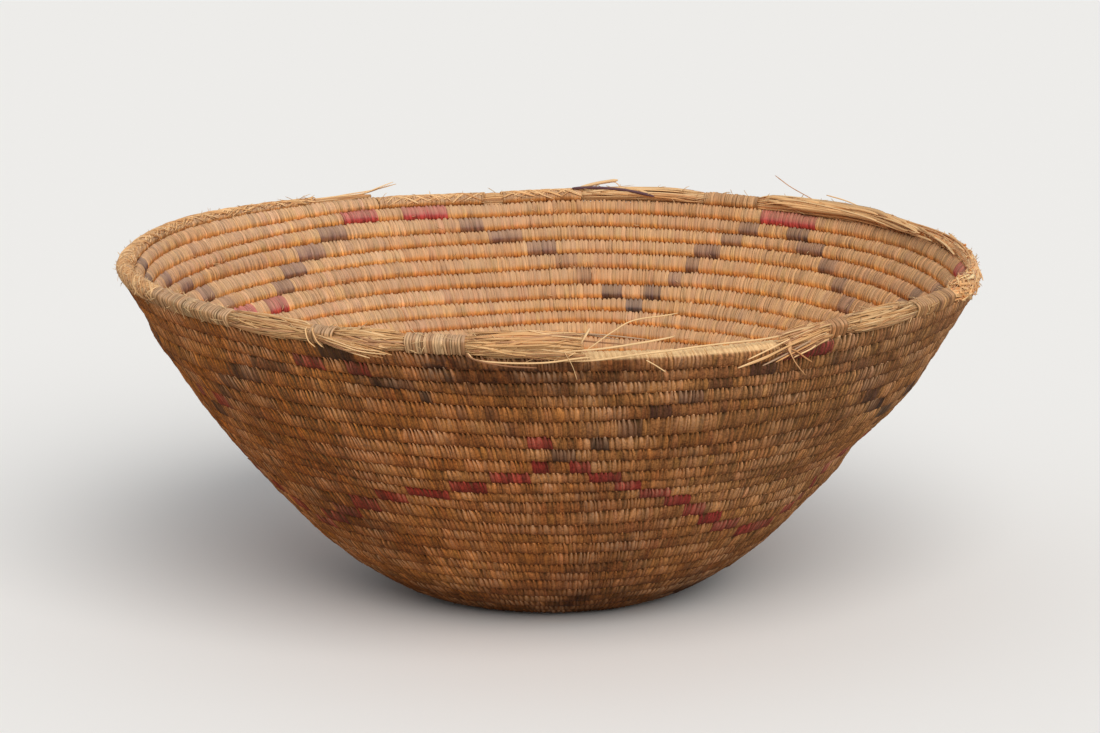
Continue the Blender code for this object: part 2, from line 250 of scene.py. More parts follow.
# Dyed stitches, in the order in which they were sewn over the straw: dye, then rows with the azimuths, in
# degrees, between which they are dyed
DYED_BLOCKS = (
    # upper steps, at the back
    ("dark", (34, 113.3, 116.6)), ("red", (33, 106, 113), (32, 117.8, 123.4)), ("brown", (32, 100.5, 104.6),
    (31, 124, 128.2), (31, 94.2, 100), (30, 128.5, 133.8), (30, 89, 94), (29, 133, 138)),
    ("faint", (29, 85.7, 89.3)), ("brown", (28, 137.5, 141.5)), ("faint", (28, 83, 85.3)),
    ("red", (27, 140.5, 144.8)), ("dark", (27, 77, 81)), ("blue", (26, 144, 148.3), (26, 73.2, 76.4)),
    ("red", (27, 148, 153)), ("dark", (27, 70, 73.5)), ("faint", (28, 153, 156.2)),
    ("brown", (28, 67, 69.3), (29, 156.5, 160.3), (29, 64.4, 67), (30, 161, 166), (30, 61.5, 65.8),
    (31, 168.7, 172.4), (31, 58.2, 61.8)), ("dark", (32, 178, 183)), ("brown", (32, 55.7, 59.3)),
    ("red", (33, 46, 56)), ("dark", (32, 46.7, 50.2)), ("brown", (31, 42.7, 48), (30, 38.6, 42.2),
    (29, 34.8, 37.8), (28, 30.8, 34.5), (27, 27.4, 31)), ("blue", (26, 23.8, 27.6)),
    ("brown", (27, 20.4, 24), (28, 18.3, 21), (29, 15.8, 18.9)), ("dark", (30, 11.8, 15.6)),
    ("brown", (31, 3.6, 8.4)), ("dark", (32, -0.2, 2.2)), ("red", (33, -5.2, 4.6)),
    ("dark", (33, 176, 180.6)),
    # upper steps, at the front
    ("brown", (32, -171.5, -167), (31, -167, -163), (30, -164, -160.5), (29, -161, -158)),
    ("red", (27, -156.4, -154)), ("dark", (26, -154, -150.4)), ("red", (27, -150.2, -145.8)),
    ("brown", (28, -146, -142.5), (29, -142.5, -139), (30, -138.8, -132.5), (31, -133.3, -127)),
    ("red", (32, -124.8, -120)), ("dark", (33, -120.3, -115.4)), ("red", (32, -116.6, -113.7)),
    ("brown", (31, -114, -107.7)), ("dark", (30, -107.4, -105.6)), ("faint", (29, -102.4, -101.2),
    (29, -98.5, -97), (28, -96.5, -94.5)), ("red", (27, -93, -89.5)), ("brown", (26, -89.5, -86)),
    ("dark", (27, -84.3, -81)), ("brown", (28, -80.6, -77), (29, -76.6, -73), (30, -72.5, -69.5)),
    ("faint", (31, -69, -65.5)), ("brown", (32, -63.5, -60)), ("red", (33, -60.4, -51.4)),
    ("faint", (32, -50.5, -47), (31, -46.5, -43), (30, -43.5, -40), (29, -41, -38)),
    ("brown", (28, -38.5, -35)), ("dark", (27, -35, -30.5)), ("blue", (26, -29.2, -24.5)),
    ("dark", (27, -22, -17.8)), ("faint", (28, -17.5, -15), (29, -15, -12)), ("brown", (30, -12.4, -9),
    (31, -9.4, -6)), ("dark", (32, -6.4, -4)),
    # lower steps, at the front
    ("red", (25, -92.8, -90), (25, -86.8, -83.7), (24, -99.5, -93.2), (24, -83.8, -79), (23, -106.5, -99.7),
    (23, -79, -74.7), (22, -114, -107.2), (22, -75, -69), (21, -121.8, -115), (21, -69.8, -64.6),
    (20, -128.8, -122.5), (20, -65, -60.2), (19, -134.3, -128), (19, -60.5, -55.8), (18, -140, -134),
    (18, -56, -49), (17, -147, -140.5), (17, -48, -36), (18, -152, -146.5), (18, -36, -31),
    (19, -157, -152), (19, -32, -29), (20, -162, -157), (20, -30, -27.6), (21, -167, -162),
    (21, -28.8, -26.2), (22, -172, -167), (22, -26, -20), (23, -177, -172), (23, -20, -13), (24, 177, 183),
    (24, -13, -6), (24, 171, 176), (24, -5, 2), (23, 165, 171), (23, 2, 9)),
    # lower steps, at the back
    ("red", (22, 158, 165), (22, 9, 16), (21, 151, 158), (21, 16, 23), (20, 144, 151), (20, 23, 30),
    (19, 137, 144), (19, 30, 38), (18, 129, 137), (18, 38, 46), (17, 121, 129), (17, 46, 54),
    (18, 114, 121), (18, 54, 61), (19, 108, 114), (19, 61, 68), (20, 102, 108), (20, 68, 74), (21, 97, 102),
    (21, 74, 80), (22, 92.5, 97), (22, 80, 85), (23, 86, 92)),
)


class Shade:
    """A value or colour in a finish. Sums and products of values add the nodes that they need."""

    def __init__(self, finish, socket):
        self.finish = finish
        self.socket = socket

    def _sum(self, operation, first, second):
        return self.finish.node("ShaderNodeMath", {"operation": operation}, {0: first, 1: second})

    def __add__(self, other):
        return self._sum("ADD", self, other)

    def __sub__(self, other):
        return self._sum("SUBTRACT", self, other)

    def __rsub__(self, other):
        return self._sum("SUBTRACT", other, self)

    def __mul__(self, other):
        return self._sum("MULTIPLY", self, other)

    def __pow__(self, other):
        return self._sum("POWER", self, other)

    __radd__ = __add__
    __rmul__ = __mul__


class Finish:
    """A material for one of the basket's surfaces."""

    def __init__(self, name):
        self.material = bpy.data.materials.new(name)
        self.material.use_nodes = True
        self.tree = self.material.node_tree
        self.shader = self.tree.nodes["Principled BSDF"]

    def node(self, kind, settings=None, values=None, output=0):
        made = self.tree.nodes.new(kind)
        for name, setting in (settings or {}).items():
            setattr(made, name, setting)
        for name, value in (values or {}).items():
            self.feed(made.inputs[name], value)
        return Shade(self, made.outputs[output])

    def feed(self, socket, value):
        if isinstance(value, Shade):
            self.tree.links.new(value.socket, socket)
        else:
            socket.default_value = value

    def laid(self, name, output="Vector"):
        """What the mesh carries under a name."""
        return self.node("ShaderNodeAttribute", {"attribute_name": name}, output=output)

    def parts(self, vector):
        """The three numbers of a vector."""
        split = self.node("ShaderNodeSeparateXYZ", values={0: vector})
        return [Shade(self, output) for output in split.socket.node.outputs]

    def noise(self, vector, scale, detail=2.0, roughness=0.5):
        """Soft mottling. A scale of three numbers makes it finer along some axes than along others."""
        if isinstance(scale, tuple):
            vector = self.node("ShaderNodeVectorMath", {"operation": "MULTIPLY"}, {0: vector, 1: scale})
            scale = 1.0
        return self.node("ShaderNodeTexNoise", None, {
            "Vector": vector, "Scale": scale, "Detail": detail, "Roughness": roughness})

    def between(self, value, low, high, start=0.0, end=1.0):
        """A smooth rise from start to end, as a value goes from low to high."""
        return self.node(
            "ShaderNodeMapRange", {"interpolation_type": "SMOOTHSTEP"},
            {"Value": value, "From Min": low, "From Max": high, "To Min": start, "To Max": end})

    def blend(self, share, first, second, kind="MIX"):
        """Two colours mixed by a share from 0 to 1."""
        made = self.tree.nodes.new("ShaderNodeMix")
        made.data_type = "RGBA"
        made.blend_type = kind
        made.clamp_factor = True
        for index, value in ((0, share), (6, first), (7, second)):
            if isinstance(value, tuple):
                value = (*value, 1.0)
            self.feed(made.inputs[index], value)
        return Shade(self, made.outputs[2])

    def grey(self, value):
        """A number as a grey colour, to multiply another colour with."""
        return self.node("ShaderNodeCombineXYZ", None, {0: value, 1: value, 2: value})

    def set(self, name, value):
        self.feed(self.shader.inputs[name], value)

    def raise_by(self, height, distance, strength):
        """Relief: the height, 0 to 1, over a distance in metres."""
        self.set("Normal", self.node(
            "ShaderNodeBump", None, {"Strength": strength, "Distance": distance, "Height": height}))


def section_length(degrees):
    """How far round the coil's section a place on it is, from the groove below."""
    return np.radians(np.asarray(degrees) - SECTION_DEGREES[0]) * HALF_ACROSS


def sewn_finish(name):
    """Dry leaf strip sewn over grass: each strip in its own shade, ribbed along, with painted shade in its
    grooves.
    """
    finish = Finish(name)
    between, blend, noise = finish.between, finish.blend, finish.noise
    tone = finish.laid("strip_tone", "Color")
    chance = finish.laid("strip_tone", "Alpha")
    lay = finish.laid("lay")
    perimeter, turn = finish.parts(lay)[1:]
    gap, crevice, side = finish.parts(finish.laid("groove"))
    place = finish.node("ShaderNodeTexCoord", output=3)
    across, _, height = finish.parts(place)
    facing = finish.parts(finish.node("ShaderNodeNewGeometry", output=1))[2]

    # Ribs and fibres run along each strip; arcs run along a row, and the rest lies over the whole bowl
    ribs = between(noise(lay, (560.0, 50.0, 1.0)), 0.3, 0.7)
    fibres = between(noise(lay, (1300.0, 130.0, 1.0)), 0.3, 0.7)
    blotches = noise(lay, (190.0, 190.0, 1.0), 3.0)
    arcs = noise(lay, (26.0, 0.0, 3.1), 3.0, 0.6)
    soiling = noise(place, 11.0, 4.0, 0.6)
    spots = noise(place, 150.0, 3.0, 0.65)
    specks = noise(place, 560.0)
    drift = noise(place, 34.0, 3.0)
    patches = noise(place, 15.0, 3.0, 0.55)
    outside = between(side, -0.15, 0.35)
    inside = 1 - outside
    sides = between(across * across, 0.004, 0.024)

    # How light each strip is
    shade = 0.21 + ribs * (0.36 + outside * 0.24 + sides * 0.14) + fibres * 0.40 + blotches * 0.42
    grain = between(noise(place, 760.0), 0.34, 0.66, -0.5, 0.5)
    shade = shade + grain * (outside * 0.42 + sides * 0.20)
    # Strips towards the bowl's left and right edges are a little darker: painted shade
    shade = shade + chance * (0.24 + outside * 0.10 + sides * 0.12) - sides * 0.06
    worn = between(arcs, 0.3, 0.7, 0.74, 1.12) * between(height, 0.11, 0.19, 1.0, 0.93)
    shade = (shade + outside * 0.06) * (inside + outside * worn)
    colour = blend(1.0, tone, finish.grey(shade), "MULTIPLY")

    # Inside: painted warm bounce light under the rows over their less faded colour, dust with painted light
    # from above on top of them; and painted shade by side of the bowl, inside and out, as the lamp falls
    # Warm under the rows inside: their less faded colour, and painted warm bounce light on their lower faces
    unfaded_and_bounce_lit = between(perimeter, section_length(186), section_length(228)) * inside
    colour = blend(unfaded_and_bounce_lit * between(drift, 0.3, 0.6, 0.6, 1.0), colour, UNFADED_AND_BOUNCE_LIT_TONE, "MULTIPLY")
    # Dust on the upward faces inside, partly painted light from above on the tops of the rows
    dust_and_top_light = between(facing, 0.1, 0.6) * inside * (drift * 0.7 + ribs * 0.15)
    colour = blend(dust_and_top_light, colour, DUST_AND_TOP_LIGHT_TONE)
    # Painted light and shade by side of the bowl: the inside darker on its right, the outside darker and
    # warmer on the left and darker and greyer on the right
    right = between(across, -0.25, 0.25)
    inside_side_shade = blend(right, LEFT_INSIDE_LIT_TONE, RIGHT_INSIDE_SHADE_TONE)
    side_shade = blend(outside, inside_side_shade, blend(right, LEFT_OUTSIDE_SHADE_TONE, RIGHT_OUTSIDE_SHADE_TONE))
    colour = blend(1.0, colour, side_shade, "MULTIPLY")

    # Soil on the outside, with painted shade on the lower half of each row; stains in patches and from
    # hands;
    # darker towards the bottom; and pale worn tips with a painted highlight on the upper crests
    high = between(perimeter, section_length(-70), section_length(58))
    # The lower half of each row outside is darker: soil, and painted shade under the row; higher up only
    # soil in patches and specks
    soil_and_shade = outside * (1 - high) * between(soiling, 0.2, 0.7, 0.75, 1.0)
    soil_and_shade = soil_and_shade + outside * high * between(soiling, 0.35, 0.75, 0.0, 0.5)
    soil_and_shade = soil_and_shade * between(spots, 0.3, 0.6, 0.75, 1.0)
    soil_and_shade = soil_and_shade + outside * between(specks, 0.5, 0.68, 0.0, 0.35)
    colour = blend(soil_and_shade, colour, SOIL_AND_SHADE_TONE, "MULTIPLY")
    stains_and_dark_bottom = between(patches, 0.52, 0.68, 0.0, 0.55) * between(spots, 0.35, 0.6, 0.4, 1.0)
    hands = between(across, -0.10, -0.06) * between(across, 0.08, 0.03)
    hands = hands * between(height, 0.182, 0.204) * between(spots, 0.35, 0.6, 0.5, 1.0)
    # Besides the stains in patches and from hands, darker towards the bottom of the bowl
    stains_and_dark_bottom = stains_and_dark_bottom + hands * 0.8 + between(height, 0.045, 0.012, 0.0, 0.6)
    colour = blend(stains_and_dark_bottom * outside, colour, STAIN_AND_BOTTOM_TONE, "MULTIPLY")
    # Pale worn tips on the upper crests of the rows, partly a painted highlight
    worn_and_lit_ridge = outside * high ** 2 * between(gap, 0.45, 0.0) * between(arcs, 0.42, 0.66, 0.0, 0.8)
    colour = blend(worn_and_lit_ridge * (0.5 + ribs * 0.5), colour, WORN_AND_LIT_TIP_TONE)

    # The clean row under the lost stems, and painted shade in the grooves between the strips and the rows
    bared = between(turn, under_rim(166), under_rim(172)) * between(turn, under_rim(207), under_rim(203))
    bared = bared * between(perimeter, section_length(34), section_length(66))
    colour = blend(bared * (0.55 + ribs * 0.45), colour, BARED_TONE)
    groove = between(gap, 0.1, 0.8, 0.0, 0.8) * (1 - outside * (1 - high) * 0.5)
    groove = groove + between(crevice, 0.3, 1.0, 0.0, 0.3) * (0.2 + outside * 0.3)
    # Painted shade on the flanks of the strips towards the bowl's left and right edges
    groove = groove + sides * between(gap, 0.05, 0.25, 0.0, 0.42) * (0.6 + outside * 0.4)
    colour = blend(groove * (1 - bared * 0.8), colour, GROOVE_SHADE_TONE)
    finish.set("Base Color", colour)
    finish.set("Roughness", 0.58 + blotches * 0.3)
    finish.shader.inputs["Specular IOR Level"].default_value = 0.3
    finish.raise_by(ribs * 0.6 + fibres * 0.4, 0.0005, 1.0)
    return finish.material


# What the finishes above blend over the strips and stems
UNFADED_AND_BOUNCE_LIT_TONE = (1.0, 0.76, 0.43)
DUST_AND_TOP_LIGHT_TONE = srgb(211, 175, 141)
LEFT_INSIDE_LIT_TONE = srgb(246, 247, 252)
RIGHT_INSIDE_SHADE_TONE = srgb(240, 232, 222)
SOIL_AND_SHADE_TONE = srgb(148, 120, 82)
LEFT_OUTSIDE_SHADE_TONE = srgb(232, 188, 122)
RIGHT_OUTSIDE_SHADE_TONE = srgb(226, 212, 200)
WORN_AND_LIT_TIP_TONE = srgb(228, 186, 148)
BARED_TONE = srgb(246, 208, 154)
GROOVE_SHADE_TONE = srgb(104, 76, 44)
STAIN_AND_BOTTOM_TONE = srgb(122, 99, 66)
SHADED_STEM_TONE = srgb(202, 150, 98)


def stem_finish(name):
    """Bare grass stems: pale and smooth, streaked along, grey or brown where they have weathered."""
    finish = Finish(name)
    tone = finish.laid("strip_tone", "Color")
    lay = finish.laid("lay")
    deep = finish.parts(finish.laid("groove"))[0]
    streaks = finish.noise(lay, (90.0, 2600.0, 1.0), 3.0)
    marks = finish.noise(lay, (60.0, 300.0, 1.0), 3.0, 0.65)
    colour = finish.blend(1.0, tone, finish.grey(0.58 + streaks * 0.55 + marks * 0.42), "MULTIPLY")
    finish.set("Base Color", finish.blend(deep * 0.45, colour, SHADED_STEM_TONE))
    finish.set("Roughness", 0.42 + marks * 0.3)
    finish.shader.inputs["Specular IOR Level"].default_value = 0.4
    finish.raise_by(streaks, 0.0002, 0.7)
    return finish.material


sewn_coil = sewn_finish("sewn_leaf_strip")
bare_stem = stem_finish("bare_grass_stem")


def make_piece(name, points, quads, caps, tones, lay, groove, seats, finish, nodes):
    """A piece of the basket: quads and end caps, each face's tone, what points carry, and its unwrap."""
    mesh = bpy.data.meshes.new(name)
    corners = np.concatenate([quads.ravel()] + [np.asarray(cap) for cap in caps])
    counts = np.concatenate([np.full(len(quads), 4), [len(cap) for cap in caps]]).astype(np.int32)
    starts = np.concatenate([[0], np.cumsum(counts)[:-1]]).astype(np.int32)
    mesh.vertices.add(len(points))
    mesh.vertices.foreach_set("co", points.astype(np.float32).ravel())
    mesh.loops.add(len(corners))
    mesh.loops.foreach_set("vertex_index", corners.astype(np.int32))
    mesh.polygons.add(len(counts))
    mesh.polygons.foreach_set("loop_start", starts)
    mesh.polygons.foreach_set("use_smooth", np.ones(len(counts), bool))
    for title, kind, domain, field, values in (
            ("strip_tone", "FLOAT_COLOR", "FACE", "color", tones),
            ("lay", "FLOAT_VECTOR", "POINT", "vector", lay),
            ("groove", "FLOAT_VECTOR", "POINT", "vector", groove)):
        mesh.attributes.new(title, kind, domain).data.foreach_set(field, values.astype(np.float32).ravel())
    unwrap = mesh.uv_layers.new(name="OFBake")
    unwrap.uv.foreach_set("vector", seats.astype(np.float32).ravel())
    mesh.update(calc_edges=True)
    mesh.validate()
    mesh.materials.append(finish)
    piece = bpy.data.objects.new(name, mesh)
    bpy.context.scene.collection.objects.link(piece)
    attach(piece, "root")
    if nodes:
        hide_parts(*nodes)


def tube_faces(index):
    """Faces of a tube from the numbers of its points, ring by ring: quads along it, and two end caps."""
    following = np.roll(index, -1, axis=1)
    quads = np.stack([index[:-1], index[1:], following[1:], following[:-1]], -1).reshape(-1, 4)
    return quads, [index[0], index[-1][::-1]]


def quad_seats(begin, end, low, high):
    """Corners of a tube's quads on the unwrap, from their edges along it and round it."""
    return np.stack([begin, low, end, low, end, high, begin, high], -1).reshape(-1, 2)


def pick_tone(chance, tones, darkest, lightest):
    """One of several tones, made darker or lighter by chance."""
    return np.array(tones[chance.integers(len(tones))]) * chance.uniform(darkest, lightest)


def uneven_strips(chance, count):
    """Widths of strips, as shares of their usual width."""
    return np.clip(1 + STRIP_SPREAD * chance.standard_normal(count), *STRIP_LIMITS)


class Strips:
    """Strips side by side along a length of coil: where each begins, its tone, and how it sits."""

    def __init__(self, turns, lengths, tones, chance):
        count = len(turns)
        self.turns, self.lengths, self.tones = turns, lengths, tones
        self.strength = chance.choice((0.6, 0.85, 1.1, 1.4), count, p=(0.22, 0.30, 0.33, 0.15))
        self.swell = chance.normal(0, 1, count).clip(-1.8, 2.0)
        self.skew = chance.normal(0, 0.16, count).clip(-0.4, 0.4)
        self.reach = chance.normal(1, 0.35, count).clip(0.25, 1.7)


# Strips sewn from one hank of leaf, how far their red, green and blue stray, and the share of odd ones
HANK_STRIPS = (7, 34)
TONE_SPREAD = (0.02, 0.025, 0.06)
ODD_SHARE = 0.04


def strip_tones(turns):
    """Colour of every strip: runs from one hank of leaf, odd strips and dyed blocks. Alpha is chance."""
    chance = np.random.default_rng(33)
    middle = (turns[1:] + turns[:-1]) / 2
    count = len(middle)
    tones = np.zeros((count, 4))
    start = 0
    while start < count:
        run = chance.integers(*HANK_STRIPS)
        tone = pick_tone(chance, STRAW_TONES, 0.95, 1.05)
        tones[start:start + run, :3] = 0.6 * tone + 0.4 * np.mean(STRAW_TONES, axis=0)
        start += run
    tones[:, :3] *= chance.uniform(0.92, 1.07, (count, 1)) * chance.normal(1, TONE_SPREAD, (count, 3))
    odd = chance.random(count) < ODD_SHARE
    tones[odd, :3] *= chance.uniform(1.05, 1.25, (odd.sum(), 1))
    azimuth = degrees_to(middle)
    row = np.floor(middle)
    for dye, number, start, end in ((dye, *block) for dye, *blocks in DYED_BLOCKS for block in blocks):
        here = (row == number) & ((azimuth - start) % 360 < end - start)
        dyed = here.sum()
        shades = np.array(DYES[dye])[chance.integers(2, size=dyed)]
        taken = 1 - chance.uniform(0, 0.3, (dyed, 1)) * (dye != "red")
        shades = shades * chance.uniform(0.8, 1.2, (dyed, 1))
        tones[here, :3] = tones[here, :3] * (1 - taken) + shades * taken
    tones[:, 3] = chance.random(count)
    return tones


def lay_strips():
    """The strips that sew the whole coil, one after another from its start."""
    chance = np.random.default_rng(21)
    fine = np.linspace(START_TURN, ROUNDS, PATH_STEPS)
    lengths = travelled_along(basket_point(fine, 0.0, 0.0))
    more_than_fit = int(lengths[-1] / STRIP_WIDTH * 1.2)
    edges = np.cumsum(STRIP_WIDTH * uneven_strips(chance, more_than_fit))
    edges = np.concatenate([[0], edges[edges < lengths[-1] - STRIP_WIDTH / 2], lengths[-1:]])
    turns = np.interp(edges, lengths, fine)
    strips = Strips(turns, edges, strip_tones(turns), np.random.default_rng(8))
    bared = (turns > under_rim(LOST_STEMS[0])) & (turns < under_rim(LOST_STEMS[1]))
    strips.reach[bared] = 0
    return strips


sewing = lay_strips()
# Where a strip's section is cut: share of its width, how deep into the groove that is on the basket's
# outside, on its inside, and where the strip comes to a point, and how far the point reaches there
STRIP_CUTS = (
    (0.0, 1.0, 1.0, 1.0, 0.0), (0.14, 0.40, 0.35, 0.75, 0.15), (0.36, 0.05, 0.05, 0.25, 0.8),
    (0.52, 0.0, 0.6, 0.0, 1.0), (0.68, 0.05, 0.10, 0.25, 0.8), (0.87, 0.40, 0.35, 0.75, 0.15))


def sewn_length(name, strips, first, last, nodes, points_share=1.0):
    """A length of sewn coil, from one strip to another: a tube that each strip shapes and closes."""
    share, outer_depth, inner_depth, pointed_depth, point = (np.array(column) for column in zip(*STRIP_CUTS))
    degrees, groove_share, tip, rise, stand = (np.array(column, float) for column in zip(*SECTION))
    angles, tip = np.radians(degrees), tip * points_share
    rise, stand = rise * points_share / 1000, stand * points_share / 1000
    groove_share = groove_share * points_share + 0.8 * (1 - points_share)
    cos, sin = np.cos(angles), np.sin(angles)
    inside = smooth_step(0.2, -0.2, cos)

    def per_cut(of_strip, of_cut):
        """A value for each cut, from the strips' and the cuts' own, and for the cut that closes it all."""
        return np.append(np.outer(of_strip[first:last], of_cut).ravel(), of_strip[last] * of_cut[0])[:, None]

    def laid_out(values):
        """Where the cuts lie, between the beginnings of the strips."""
        begin, width = values[first:last], np.diff(values)[first:last]
        return np.append((begin[:, None] + width[:, None] * share).ravel(), values[last])

    turns, lengths = laid_out(strips.turns), laid_out(strips.lengths)
    widths = np.append(np.diff(strips.turns), np.diff(strips.turns)[-1])
    outer, pointed = (per_cut(strips.strength, depth) for depth in (outer_depth, pointed_depth))
    inner = per_cut(strips.strength ** 1.2, inner_depth)
    cut_depth = (outer * (1 - inside) + inner * inside) * (1 - tip) + pointed * tip
    relief = cut_depth * GROOVE_DEPTH * groove_share * (1 + INSIDE_GROOVE_GAIN * inside)
    relief = relief - STRIP_BULGE * per_cut(strips.swell, 1 - outer_depth)
    reach = per_cut(strips.reach, point)
    thin = thinning(turns)[:, None]
    lumps = (1 + 0.025 * ripple(3, 12, (0.03, 0.4), turns * 0, turns))[:, None]
    fullness = np.where(cos < 0, INNER_FULLNESS, np.where(sin < 0, LOWER_FULLNESS, UPPER_FULLNESS))
    across = (HALF_ACROSS * thin * lumps - relief) * np.sign(cos) * np.abs(cos) ** fullness
    across = across + stand * np.sqrt(reach) * thin * np.sign(cos)
    along = HALF_ALONG * thin * np.where(sin < 0, 1.05, 1.01) - relief * 0.9
    along = along * np.sign(sin) * np.abs(sin) ** fullness + rise * reach * thin * np.sign(sin)
    lean = np.where(degrees < 90, LEAN_OUTSIDE, LEAN_INSIDE) * points_share * (degrees - 90) / 180
    twist = np.median(widths) * lean + per_cut(strips.skew * widths, 1 - outer_depth) * np.sin(angles * 1.5)
    points = basket_point(turns[:, None], across, along, twist)
    rings, columns = points.shape[:2]
    quads, caps = tube_faces(np.arange(rings * columns).reshape(rings, columns))
    perimeter = section_length(degrees)
    around = np.append(perimeter, section_length(degrees[0] + 360))
    lay = np.stack(np.broadcast_arrays(lengths[:, None], perimeter[None, :], turns[:, None]), -1)
    # Masks for the painted shade: how deep each groove is, and the crevices between rows
    crevice = smooth_step(0.86, 1.0, np.abs(sin)) * (1 - np.clip(reach, 0, 1) * tip)
    line = 0.55 * groove_share * inside + (0.3 + 0.45 * groove_share) * (1 - inside)
    gap = np.clip(cut_depth * line, 0, 1.2)
    groove = np.stack(np.broadcast_arrays(gap, crevice, cos * points_share - (1 - points_share)), -1)
    tones = np.repeat(strips.tones[first:last], len(STRIP_CUTS) * columns, axis=0)
    tones = np.concatenate([tones, strips.tones[[first, last - 1]]])
    seats = unwrap_tube(lengths, around, columns)
    make_piece(name, points.reshape(-1, 3), quads, caps, tones, lay.reshape(-1, 3),
               groove.reshape(-1, 3), seats, sewn_coil, nodes)


def unwrap_tube(lengths, around, columns):
    """Unwrap of a long tube: cut into lengths that lie above each other in a square, then its two caps."""
    total, wide = lengths[-1] - lengths[0], around[-1]
    lanes = max(1, round(math.sqrt(total / wide)))
    lane_length = total / lanes
    travelled = lengths - lengths[0]
    middle = (travelled[:-1] + travelled[1:]) / 2
    lane = np.clip(np.floor(middle / lane_length), 0, lanes - 1)
    begin = np.clip((travelled[:-1] - lane * lane_length) / lane_length, 0, 1)
    end = np.clip((travelled[1:] - lane * lane_length) / lane_length, 0, 1)
    low = (0.04 + 0.92 * around[:-1] / wide)[None, :]
    high = (0.04 + 0.92 * around[1:] / wide)[None, :]
    begin, end, lane = (np.repeat(values[:, None], columns, 1) for values in (begin, end, lane))
    seats = quad_seats(begin, end, (lane + low) / lanes, (lane + high) / lanes)
    return np.concatenate([seats, np.tile(seats[:1], (2 * columns, 1))])


def strip_at(turn):
    return int(np.argmin(np.abs(sewing.turns - turn)))


def sew_rounds():
    """The coil from its start in the middle of the foot up to the rim, one piece for each round."""
    sewn_length("starting_curl", sewing, 0, strip_at(1), ["coil_start"], points_share=0.3)
    for number in range(1, ROUNDS - 1):
        first, last = strip_at(number), strip_at(number + 1)
        sewn_length(f"sewn_round_{number:02d}", sewing, first, last, [f"coil_round_{number:02d}"])


sew_rounds()


# The rim. Places along it are in degrees from the start of the last round. The bundle lies under a cover of
# strip, swells where it is bare, and has worn thin between four places at the far right
COVER = 0.001
FLAKE_THICKNESS = 0.0007
STRAW_THICKNESS = 0.0008
BUNDLE_SWELL = 0.0022
SWELL_RAMP_DEGREES = 7
WORN_THIN = (78, 92, 122, 136)
WORN_DEPTH = 0.0044
STEM_TONES = (
    srgb(224, 180, 126), srgb(218, 170, 116), srgb(206, 154, 100), srgb(228, 188, 138), srgb(198, 146, 98),
    srgb(188, 138, 98), srgb(212, 164, 110), srgb(220, 176, 124))
PALE_STEM = srgb(232, 192, 140)
BROWN_STEM = srgb(150, 104, 70)
GREY_STEM = srgb(178, 146, 116)
DARK_STRIP = srgb(96, 66, 72)
HEART_TONE = srgb(226, 174, 120)
BRAID_TONES = (
    srgb(230, 184, 130), srgb(222, 172, 116), srgb(210, 158, 104), srgb(238, 196, 144), srgb(196, 144, 94))
TAN_TONES = (srgb(218, 168, 116), srgb(208, 156, 106), srgb(226, 178, 128))
BROWN_TONES = (srgb(194, 142, 98), srgb(184, 138, 102), srgb(206, 156, 112))
PALE_TONES = (srgb(240, 200, 152), srgb(232, 188, 140), srgb(222, 176, 130), srgb(204, 154, 110))
RUSTY_TONES = (srgb(204, 146, 98), srgb(214, 158, 110))

# The wraps that are left on the rim: where each begins and ends, how wide its strips are, and their tones
RIM_WRAPS = (
    ("wrap_back_left", 0.6, 17, 0.0027, TAN_TONES),
    ("wrap_back", 20, 32, 0.0027, TAN_TONES),
    ("wrap_back_right", 51, 60, 0.0028, TAN_TONES),
    ("wrap_right", 142, 153, 0.0028, (*TAN_TONES, *BROWN_TONES)),
    ("wrap_front_right", 167, 170.5, 0.0030, RUSTY_TONES),
    ("wrap_front", 217, 224.5, 0.0018, PALE_TONES),
    ("wrap_front_left", 234, 237.5, 0.0030, TAN_TONES),
    ("wrap_left", 251, 350, 0.0021, (*TAN_TONES, *TAN_TONES, BROWN_TONES[2], FRESH_TONE)),
)


def rim_turn(degrees):
    return ROUNDS - 1 + np.asarray(degrees, float) / 360


def worn_away(degrees):
    """How much the rim has lost off its top and sides at the far right."""
    begin, full, fading, end = WORN_THIN
    return WORN_DEPTH * smooth_step(begin, full, degrees) * smooth_step(end, fading, degrees)


def bundle_swell(degrees):
    """How far the bare bundle stands out: nothing under a wrap, full well clear of it, less where worn."""
    gaps = [np.maximum(np.maximum(start - degrees, degrees - end), 0) for _, start, end, *_ in RIM_WRAPS]
    last_end = RIM_WRAPS[-1][2]
    share = np.where(degrees > last_end, 0, np.minimum(1, np.min(gaps, axis=0) / SWELL_RAMP_DEGREES))
    return BUNDLE_SWELL * stems_left(rim_turn(degrees)) * np.sin(share * math.pi / 2) - worn_away(degrees)


def bundle_point(degrees, reach, angle, lift=0.0):
    """Points in the rim's bundle: reach from heart, 0, to skin, 1, angle round it, and lift off it."""
    turn = rim_turn(degrees)
    thin, swell = thinning(turn), bundle_swell(degrees)
    cos, sin = np.cos(angle), np.sin(angle)
    across = ((HALF_ACROSS * thin - COVER + swell) * reach + lift) * cos
    along = ((HALF_ALONG * thin - COVER + np.where(sin > 0, swell, 0)) * reach + lift) * sin
    return basket_point(turn, across, along)


def rim_place(degrees, out, up):
    """Points by the rim's middle line: millimetres out from the basket's middle, and upwards."""
    around = np.radians(degrees_to(rim_turn(degrees)))
    outward = np.stack([np.cos(around), np.sin(around), np.zeros_like(around)], -1)
    middle = basket_point(rim_turn(degrees), 0.0, 0.0)
    out, up = (np.asarray(offset)[..., None] / 1000 for offset in (out, up))
    return middle + out * outward + up * np.array((0, 0, 1))


